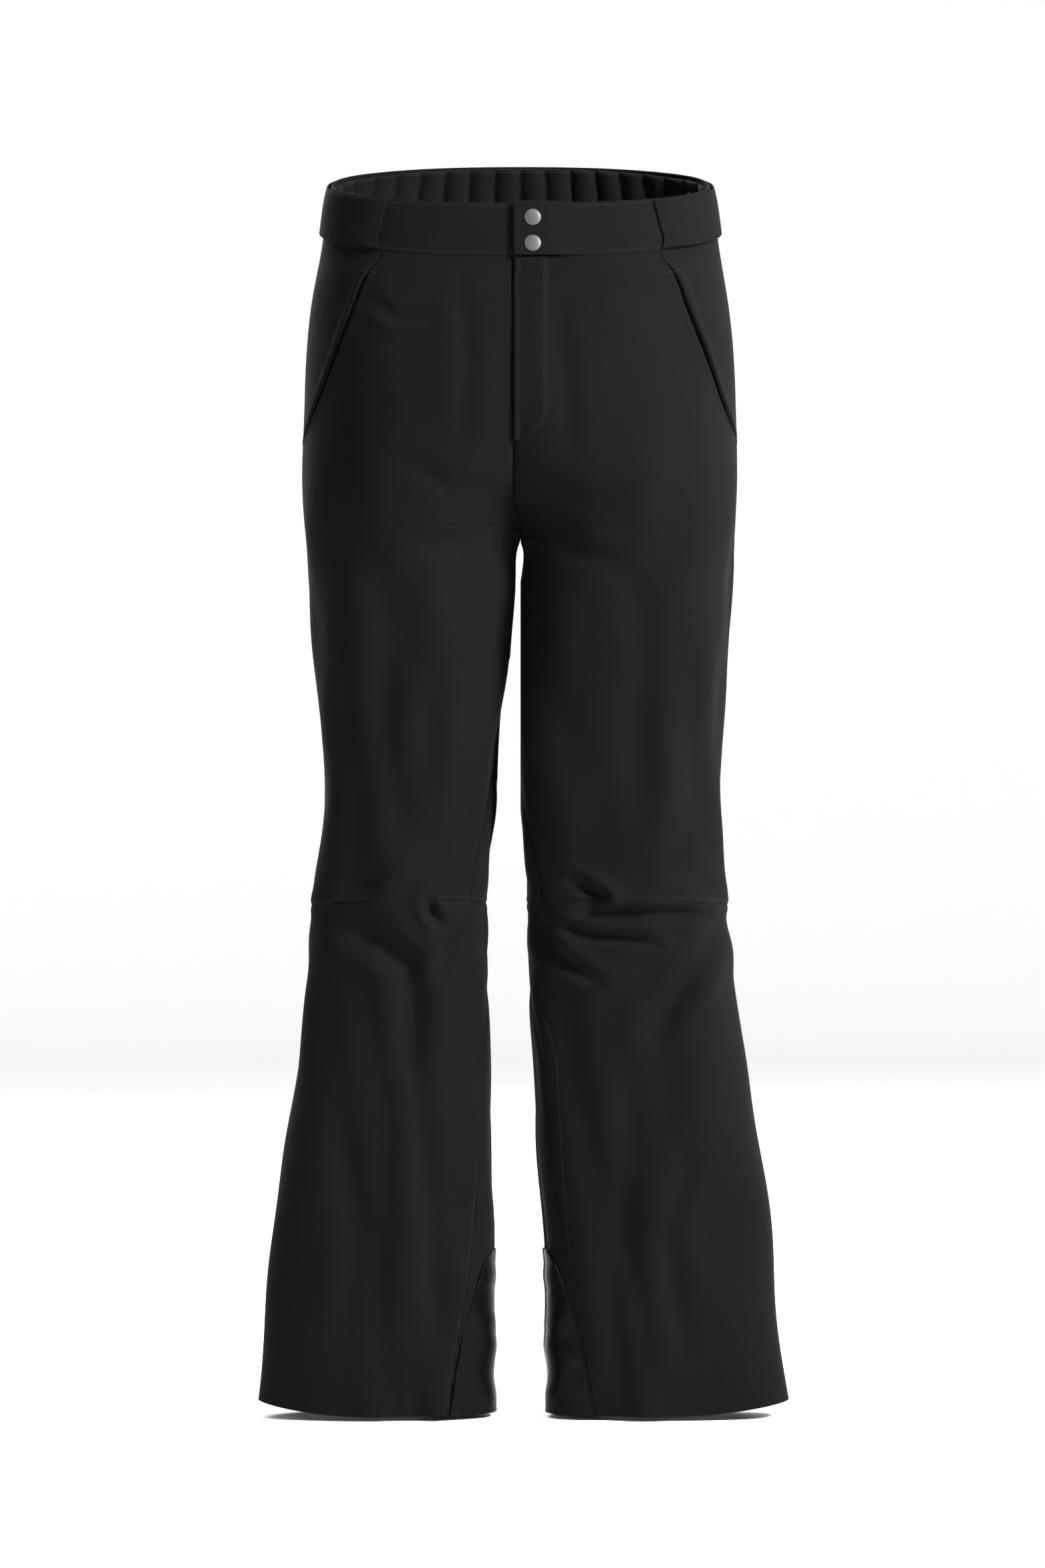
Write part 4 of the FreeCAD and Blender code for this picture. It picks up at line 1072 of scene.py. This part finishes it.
tabs = {}
for side_name, side in SIDES:
    tabs[side_name] = side_tab(side_name, side)
    hook = (-0.007, -0.039), (0.03, 0.051), (1.8, 2.3)
    loop = (-0.004, -0.042), (0.008, 0.064), (0.65, 1.5)
    pile_strip(side_name, side, "hook", f"{side_name}_tab", *hook)
    pile_strip(side_name, side, "loop", "hips", *loop)


def outline_x(points):
    """x as a function of the level, through points of (x, z)."""
    xs, zs = zip(*sorted(points, key=lambda p: p[1]))
    return lambda h: float(np.interp(h, zs, xs))


GUARD_TOP = -0.9425
GUARD = outline_x(
    ((0.027, GUARD_TOP), (0.034, -0.953), (0.043, -0.982), (0.053, -1.025), (0.064, -1.09))
)
# Waves of the guard's creases: length, lean and phase.
GUARD_CREASES = ((0.021, 0.5, 0.2), (0.033, -0.7, 1.1), (0.013, 0.9, 2.4), (0.046, 0.3, 3.3))


def hem_guard(side_name, side):
    front, back = at_x(GUARD), at_x(GUARD, False)
    spans = ((1, back, lambda h: 2 * math.pi + front(h)),)
    base = rows_between(edge_levels(GUARD_TOP, HEM), spans)
    off = drape(base, side) * 0.5
    x, z = base[..., 0], base[..., 2]
    hang = inner_hang(base, side)
    crease = np.zeros(x.shape)
    for tall, lean, wave in GUARD_CREASES:
        bend = 2 * np.sin(x / 0.017 + wave)
        crease += tall * np.sin(z / tall * 4 + lean * x / 0.008 + wave + bend)
    crease *= 14.0 * MM
    base = base + vertex_normals(base) * off[..., None]
    base = base + vertex_normals(base) * (0.9 * MM)
    base[..., 0] -= hang
    name = f"{side_name}_guard_patch"
    guard = plate(name, base, -0.4 * MM, 1.1 * MM, COATED, side, edge=0.8 * MM, relief=crease)
    finish_piece(guard, f"{side_name}_shin", "hem_guard_coating", f"{side_name}_hem_guard")
    return [mirrored(base[1:, k], side) for k in (-3, 3)], [guard]


guards = {side_name: hem_guard(side_name, side) for side_name, side in SIDES}


# ------------------------------------------------------------ inside: facings, gaiters, bags, tapes


def turned_hem(side_name, side):
    """The hem's turning: the cloth rolls under at the hem and runs up inside."""
    levels = np.array([HEM, HEM, HEM + 0.0006, HEM + 0.002, HEM + 0.006, HEM + 0.011, HEM + 0.017])
    inward = np.array([0.0, 0.9, 1.7, 2.3, 2.4, 2.4, 2.6]) * MM
    turn = np.linspace(-math.pi, math.pi, 220)
    base = np.stack([surface(h, turn) for h in levels])
    reach = np.stack([surface(HEM + 0.001, turn)] * len(levels))
    normal = vertex_normals(np.stack([surface(HEM + 0.004, turn), surface(HEM, turn)]))[:1]
    base = base + normal * (drape(reach, side) - inward[:, None])[..., None]
    base[..., 0] = np.maximum(base[..., 0], 0.0005)
    obj = shell_sheet(f"{side_name}_hem_turning", mirrored(base, side), side)
    finish_piece(obj, f"{side_name}_shin", "softshell", f"{side_name}_hem_facing")


def ring_grid(name, side, levels, reach, thick, material):
    """A closed sleeve: reach gives centre, half width and half depth at each level."""
    turn = np.linspace(0, 2 * math.pi, 161)
    rows = []
    for k, h in enumerate(levels):
        cx, cy, wide, deep = reach(h)
        ripple = 0.0012 * math.sin(k * 0.9) + 0.0016 * np.sin(turn * 9 + k * 0.25) * min(1, k / 6)
        x, y = cx + (wide + ripple) * np.cos(turn), cy + (deep + ripple) * np.sin(turn)
        rows.append(np.stack([x, y, np.full(turn.shape, h)], -1))
    base = np.stack(rows)
    normal = base - np.stack([[reach(h)[0], reach(h)[1], h] for h in levels])[:, None]
    normal[..., 2] = 0
    normal /= np.linalg.norm(normal, axis=-1, keepdims=True)
    outside, inside = base + normal * thick / 2, base - normal * thick / 2
    grid = np.concatenate([outside, inside[::-1], outside[:1]])
    faces = grid_faces(*grid.shape[:2], 0, side < 0)
    obj = make_object(name, mirrored(grid, side).reshape(-1, 3), faces, material)
    add_uv(obj, flat_uv(grid))
    return welded(obj)


def gaiter_reach(side_name):
    """The gaiter's own reach, its foot and top, and the foot of its elastic."""
    low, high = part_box(f"{side_name}_boot_gaiter")
    ring_low, ring_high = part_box(f"{side_name}_gaiter_elastic")
    foot = ((abs(ring_low.x + ring_high.x)) / 2, (ring_low.y + ring_high.y) / 2)
    foot_half = ((ring_high.x - ring_low.x) / 2 - 0.001, (ring_high.y - ring_low.y) / 2 - 0.001)
    middle, half, depth, shift = (float(v) for v in form_at(high.z))
    top, top_half = (middle, shift), (half - 0.007, depth - 0.007)

    def reach(h):
        u = min(max((high.z - h) / (high.z - low.z), 0), 1)
        return tuple(a + (b - a) * u for a, b in zip((*top, *top_half), (*foot, *foot_half)))

    return reach, low.z, high.z, ring_low.z


def inner_pieces(side_name, side):
    turned_hem(side_name, side)
    reach, foot, top, ring_foot = gaiter_reach(side_name)
    levels = np.linspace(top - 0.001, foot, 60)
    shin = f"{side_name}_shin"
    sleeve = ring_grid(f"{side_name}_gaiter_sleeve", side, levels, reach, 0.7 * MM, LINING)
    finish_piece(sleeve, shin, "inner_lining", f"{side_name}_boot_gaiter")
    levels = np.linspace(foot - 0.0005, ring_foot, 16)
    cuff = ring_grid(f"{side_name}_gaiter_cuff", side, levels, reach, 1.3 * MM, ELASTIC)
    finish_piece(cuff, shin, "elastic_tape", f"{side_name}_gaiter_elastic")
    low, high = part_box(f"{side_name}_pocket_bag")
    levels = edge_levels(high.z - 0.01, low.z + 0.002, 4 * MM)
    right = outline_x(((0.105, -0.072), (0.118, -0.1), (0.146, -0.222), (0.133, -0.262)))
    base = rows_between(levels, ((1, at_x(0.071), at_x(right)),), 4 * MM)
    relief = puckered(base, 0.3 * MM, 0.009, side)
    name = f"{side_name}_pocket_pouch"
    bag = plate(name, base, -8.4 * MM, -6.9 * MM, LINING, side, edge=0.8 * MM, relief=relief)
    finish_piece(bag, "hips", "inner_lining", f"{side_name}_pocket_bag")


def pocket_facing(side_name, side):
    """The strip of shell cloth behind a pocket's mouth, sewn to its bag."""
    top, foot, reach = -0.066, -0.212, 6 * MM
    levels = UPPER_LEVELS[(UPPER_LEVELS < top) & (UPPER_LEVELS > foot)]
    rest = rows_between(levels, ((1, pocket_angle(-reach), pocket_angle(reach)),))
    cloth = rest + form_normals(rest) * (drape(rest, side) - 3.0 * MM)[..., None]
    facing = shell_sheet(f"{side_name}_pocket_facing", mirrored(cloth, side), side)
    finish_piece(facing, "hips", "inner_lining", f"{side_name}_pocket_bag")


for side_name, side in SIDES:
    inner_pieces(side_name, side)
    pocket_facing(side_name, side)


def flat_frame(node_name):
    """Centre, width, length and face directions of a flat node, with its three sizes."""
    mesh = NODES[node_name].data
    co = np.array([v.co for v in mesh.vertices])
    centre = (co.min(0) + co.max(0)) / 2
    _, _, axes = np.linalg.svd(co - co.mean(0), full_matrices=False)
    long, wide, face = axes
    long = -long if long[2] > 0 else long
    face = -face if np.dot(face, [centre[0], centre[1], 0]) < 0 else face
    wide = np.cross(face, long)
    local = (co - centre) @ np.stack([wide, long, face]).T
    centre = centre + ((local.max(0) + local.min(0)) / 2) @ np.stack([wide, long, face])
    return centre, wide, long, face, np.ptp(local, axis=0)


def strip_grid(frame_of, across, along):
    """A flat grid from lengths across and along a node's own frame."""
    centre, wide, long, _, _ = frame_of
    a, b = np.meshgrid(across, along)
    return centre + a[..., None] * wide + b[..., None] * long


def flat_piece(name, node_name, material, body, slot, thick, wave=0.0):
    found = flat_frame(node_name)
    _, _, _, face, sizes = found
    across, along = ((edge_spaced(size, 2 * MM, 0.6 * MM) - 0.5) * size for size in sizes[:2])
    down, over = np.sin(np.linspace(0, 5, len(along))), np.cos(np.linspace(-1, 2, len(across)))
    base = strip_grid(found, across, along) + face * (wave * np.outer(down, over))[..., None]
    piece = plate(name, base, -thick / 2, thick / 2, material, edge=thick / 2)
    return finish_piece(piece, body, slot, node_name)


flat_piece("fly_inner_shield", "fly_shield", LINING, "hips", "inner_lining", 0.7 * MM, 0.3 * MM)
flat_piece("care_tag", "care_label", LABEL, "hips", "label_cloth", 0.45 * MM, 0.8 * MM)


def add_tube(verts, faces, rings, flip=False):
    """Adds a closed tube through some rings of points."""
    first, sides, made = len(verts), len(rings[0]), []
    for k, ring in enumerate(rings):
        start = len(verts)
        verts.extend(ring)
        if k:
            pairs = ((start + q, start + (q + 1) % sides) for q in range(sides))
            made.extend((a - sides, b - sides, b, a) for a, b in pairs)
    made += [tuple(range(first + sides - 1, first - 1, -1)), tuple(range(start, start + sides))]
    faces.extend(face[::-1] if flip else face for face in made)


def hanger_loops():
    """Both hanger loops: folded tapes sewn inside the sides of the waist."""
    low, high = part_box("hanger_loops")
    verts, faces = [], []
    wide, thick = 0.0078, 0.0009
    for side in (1, -1):
        for layer in (0, 1):
            along = np.linspace(0, 1, 30)
            z = high.z - (high.z - low.z) * along
            bow = 0.0004 * np.sin(along * math.pi) * (1 if layer else -1)
            reach = thick / 2 * (0.96 if layer else 0.0)
            outer = high.x - thick / 2 - 0.0001 + bow * 0.3 - reach
            near, far = side * outer, side * (outer - thick / 2)
            rings = []
            for a, b, height in zip(near, far, z):
                corners = ((a, -wide / 2), (b, -wide / 2), (b, wide / 2), (a, wide / 2))
                rings.append([(*corner, height) for corner in corners])
            add_tube(verts, faces, rings, side < 0)
    obj = make_object("waist_hanger_loops", verts, faces, ZIP_TAPE, False)
    add_uv(obj, [(v[1], v[2]) for v in verts])
    return finish_piece(obj, "hips", "woven_tape", "hanger_loops")


hanger_loops()


def rod(verts, faces, centre_line, radius, bead, direction):
    """A round rod whose radius swells along it in beads."""
    sides = 8
    run = lengths_along(np.asarray(centre_line), 0)
    axis = centre_line[-1] - centre_line[0]
    axis = axis / np.linalg.norm(axis)
    other = np.cross(axis, direction)
    turns = 2 * math.pi * np.arange(sides)[:, None] / sides
    circle = np.cos(turns) * direction + np.sin(turns) * other
    swell = radius * (0.78 + 0.22 * np.sin(2 * math.pi * run / bead))
    add_tube(verts, faces, [p + r * circle for p, r in zip(centre_line, swell)])


def zip_piece(name, node_name):
    """A zip's two woven tapes with a beaded coil along each, in one piece."""
    found = flat_frame(node_name)
    centre, wide, long, face, sizes = found
    lane, coil, tape = 2 * MM, 1.1 * MM, 12 * MM
    along = (edge_spaced(sizes[1], 2.5 * MM, 0.6 * MM) - 0.5) * sizes[1]
    pieces = []
    for sign in (1, -1):
        inner = lane / 2 + coil
        across = sign * (inner + edge_spaced(tape, 2 * MM, 0.5 * MM) * tape)
        base = strip_grid(found, np.sort(across), along)
        tape_name, half = f"{name}_tape{sign + 1}", 0.3 * MM
        pieces.append(plate(tape_name, base, -half, half, ZIP_TAPE, edge=0.25 * MM))
    verts, faces = [], []
    for sign in (1, -1):
        middle = sign * (lane + coil) / 2
        reach = np.linspace(-sizes[1] / 2, sizes[1] / 2, int(sizes[1] / (0.3 * MM)))
        line = centre + middle * wide + reach[:, None] * long
        rod(verts, faces, line, coil / 2, 1.25 * MM, face)
    coils = make_object(f"{name}_coils", verts, faces, THREAD)
    add_uv(coils, np.zeros((len(verts), 2)))
    with bpy.context.temp_override(active_object=coils, selected_editable_objects=[coils, *pieces]):
        bpy.ops.object.join()
    coils.name = name
    return finish_piece(coils, "hips", "zip_tape", node_name)


zip_piece("fly_closing_zip", "fly_zip")
for side_name, side in SIDES:
    zip_piece(f"{side_name}_pocket_closing_zip", f"{side_name}_pocket_zip")


# ------------------------------------------------------------ hard parts keep their CAD shape


def finish_hard(node_name, material):
    obj = NODES[node_name]
    obj.data.materials.clear()
    obj.data.materials.append(material)


for node_name in ("snap_caps", "snap_sockets", "snap_studs", "snap_posts"):
    finish_hard(node_name, GUNMETAL)
for prefix in ("fly", "left_pocket", "right_pocket"):
    finish_hard(f"{prefix}_zip_slider", BLACK_METAL)
    finish_hard(f"{prefix}_zip_pull", RUBBER)


# ------------------------------------------------------------ stitching


def seam_path(line, side, lift=0.0):
    """A front-view line of (x, z), laid on the front of a leg and moved up by lift."""
    out = []
    for (ax, az), (bx, bz) in zip(line, line[1:]):
        for u in np.linspace(0, 1, 12, endpoint=False):
            x, z = ax + (bx - ax) * u, az + (bz - az) * u + lift
            middle, half, _, _ = (float(v) for v in form_at(z))
            x = min(max(x, middle - half * 0.995), middle + half * 0.995)
            point = surface(z, angle_of_x(x, z))
            out.append(point * [side, 1, 1])
    return np.array(out)


def pocket_seam(side, rise):
    """The stitching beside a pocket's welt."""
    line = []
    for h in np.linspace(-0.062, -0.205, 70):
        x = min(pocket_edge(h - pocket_rise(h)) + rise, 0.196)
        line.append(surface(h, angle_of_x(x, h)))
    return mirrored(np.array(line), side)


BARTACK = {"pitch": 0.55 * MM, "length": 2.6 * MM, "thick": 0.5 * MM}
BAND_ROWS = (-BAND + 0.003, -0.003)


def band_rows(spans):
    return [level_line(h, spans) for h in BAND_ROWS]


stitch_right = (-1, at_y(BAND_SPLIT_Y), centre_front), (1, centre_front, at_x(0.022))
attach(threads("right_band_stitching", band_rows(stitch_right), [right_band]), "hips")
stitch_left = (-1, at_x(0.004), centre_front), (1, centre_front, at_y(BAND_SPLIT_Y))
closure_end = []
for h in np.linspace(*BAND_ROWS[::-1], 30):
    closure_end.append(surface(h, angle_of_x(0.0035, h)) * [-1, 1, 1])
left_lines = band_rows(stitch_left) + [np.array(closure_end)]
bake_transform(threads("left_band_stitching", left_lines, [left_band]))
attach(threads("back_band_stitching", band_rows(round_back(BAND_SPLIT_Y)), [back_band]), "hips")
inner_line = level_line(-0.006, round_back(0.0)) * [0.95, 0.9, 1]
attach(threads("quilt_stitching", [inner_line], [quilt], "quilted_lining"), "hips")
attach(threads("fly_stitching", *fly), "hips")
for side_name, side in SIDES:
    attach(threads(f"{side_name}_tab_stitching", *tabs[side_name]), f"{side_name}_tab")
    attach(threads(f"{side_name}_guard_stitching", *guards[side_name]), f"{side_name}_shin")
    insert = shells[f"{side_name}_insert"]
    welt = pocket_seam(side, 0.0068)
    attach(threads(f"{side_name}_pocket_stitching", [welt], [insert]), "hips")
    darts = [seam_path(line, side, 0.0032) for line in SEAMS[:2]]
    darts.append(seam_path(SEAMS[3], side) + [0.003 * side, 0, 0])
    leg_sewing = threads(f"{side_name}_leg_stitching", darts, [shells[f"{side_name}_front_lower"]])
    knee_blend(leg_sewing, side_name)


for side_name, side in SIDES:
    tops = []
    for level in (POCKET_TOP, POCKET_FOOT):
        h = level + pocket_rise(level)
        xs = np.linspace(pocket_edge(level) - 0.004, min(pocket_edge(level) + 0.006, 0.1905), 12)
        tops.append(np.array([surface(h, angle_of_x(x, h)) * [side, 1, 1] for x in xs]))
    front, insert = shells[f"{side_name}_front_upper"], shells[f"{side_name}_insert"]
    bars = threads(f"{side_name}_pocket_bartacks", tops, [front, insert], **BARTACK)
    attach(bars, "hips")


# ------------------------------------------------------------ floor, light and camera


def placed(name, data, place):
    obj = bpy.data.objects.new(name, data)
    obj.location = place
    bpy.context.scene.collection.objects.link(obj)
    return obj


def build_stage():
    level, flat, wide = HEM - 0.004, 6.5, 10.0
    profile = [(0.0, level), (flat, level)]
    for turn in np.linspace(0, math.pi / 2, 20)[1:]:
        profile.append((flat + (wide - flat) * math.sin(turn), level + 5.0 * (1 - math.cos(turn))))
    around = np.linspace(0, 2 * math.pi, 97)[:-1]
    verts = [(r * math.cos(a), r * math.sin(a), z) for r, z in profile[1:] for a in around]
    verts.append((0.0, 0.0, level))
    count, rings = len(around), len(profile) - 1
    faces = [(len(verts) - 1, k, (k + 1) % count) for k in range(count)]
    for ring in range(rings - 1):
        for k in range(count):
            a, b = ring * count + k, ring * count + (k + 1) % count
            faces.append((a, a + count, b + count, b))
    looks = {"Specular IOR Level": 0.1}
    material, _, _ = new_material("pale_floor", (0.95, 0.95, 0.952), 0.95, looks)
    floor = make_object("floor", verts, faces, material)
    world = bpy.data.worlds.new("studio")
    bpy.context.scene.world = world
    world.use_nodes = True
    back = world.node_tree.nodes["Background"]
    back.inputs["Color"].default_value = (1.0, 1.0, 1.0, 1)
    back.inputs["Strength"].default_value = 0.75
    lamps = (
        ("key_light", (2.1, -1.5, 1.1), 400.0, 0.8),
        ("fill_light", (-2.4, -2.2, 0.2), 4.0, 1.6),
        ("top_light", (0.3, -0.2, 2.0), 20.0, 1.2),
        ("back_light", (-1.6, 2.4, 1.6), 140.0, 1.6),
        ("back_fill_light", (2.4, 2.0, 0.6), 40.0, 1.6),
    )
    target = Vector((0.0, 0.0, -0.5))
    for name, place, power, width in lamps:
        light = bpy.data.lights.new(name, "AREA")
        light.energy = power
        light.size = width
        lamp = placed(name, light, place)
        lamp.rotation_euler = (target - Vector(place)).to_track_quat("-Z", "Y").to_euler()
    sensor, distance, height = 36.0, 5.0, 1.388
    camera = placed("camera", bpy.data.cameras.new("camera"), (0.0018, -distance, -0.5315))
    camera.rotation_euler = (math.pi / 2, 0, 0)
    camera.data.lens = sensor * distance / height
    bpy.context.scene.camera = camera
    bpy.context.scene.view_settings.view_transform = "Standard"


build_stage()
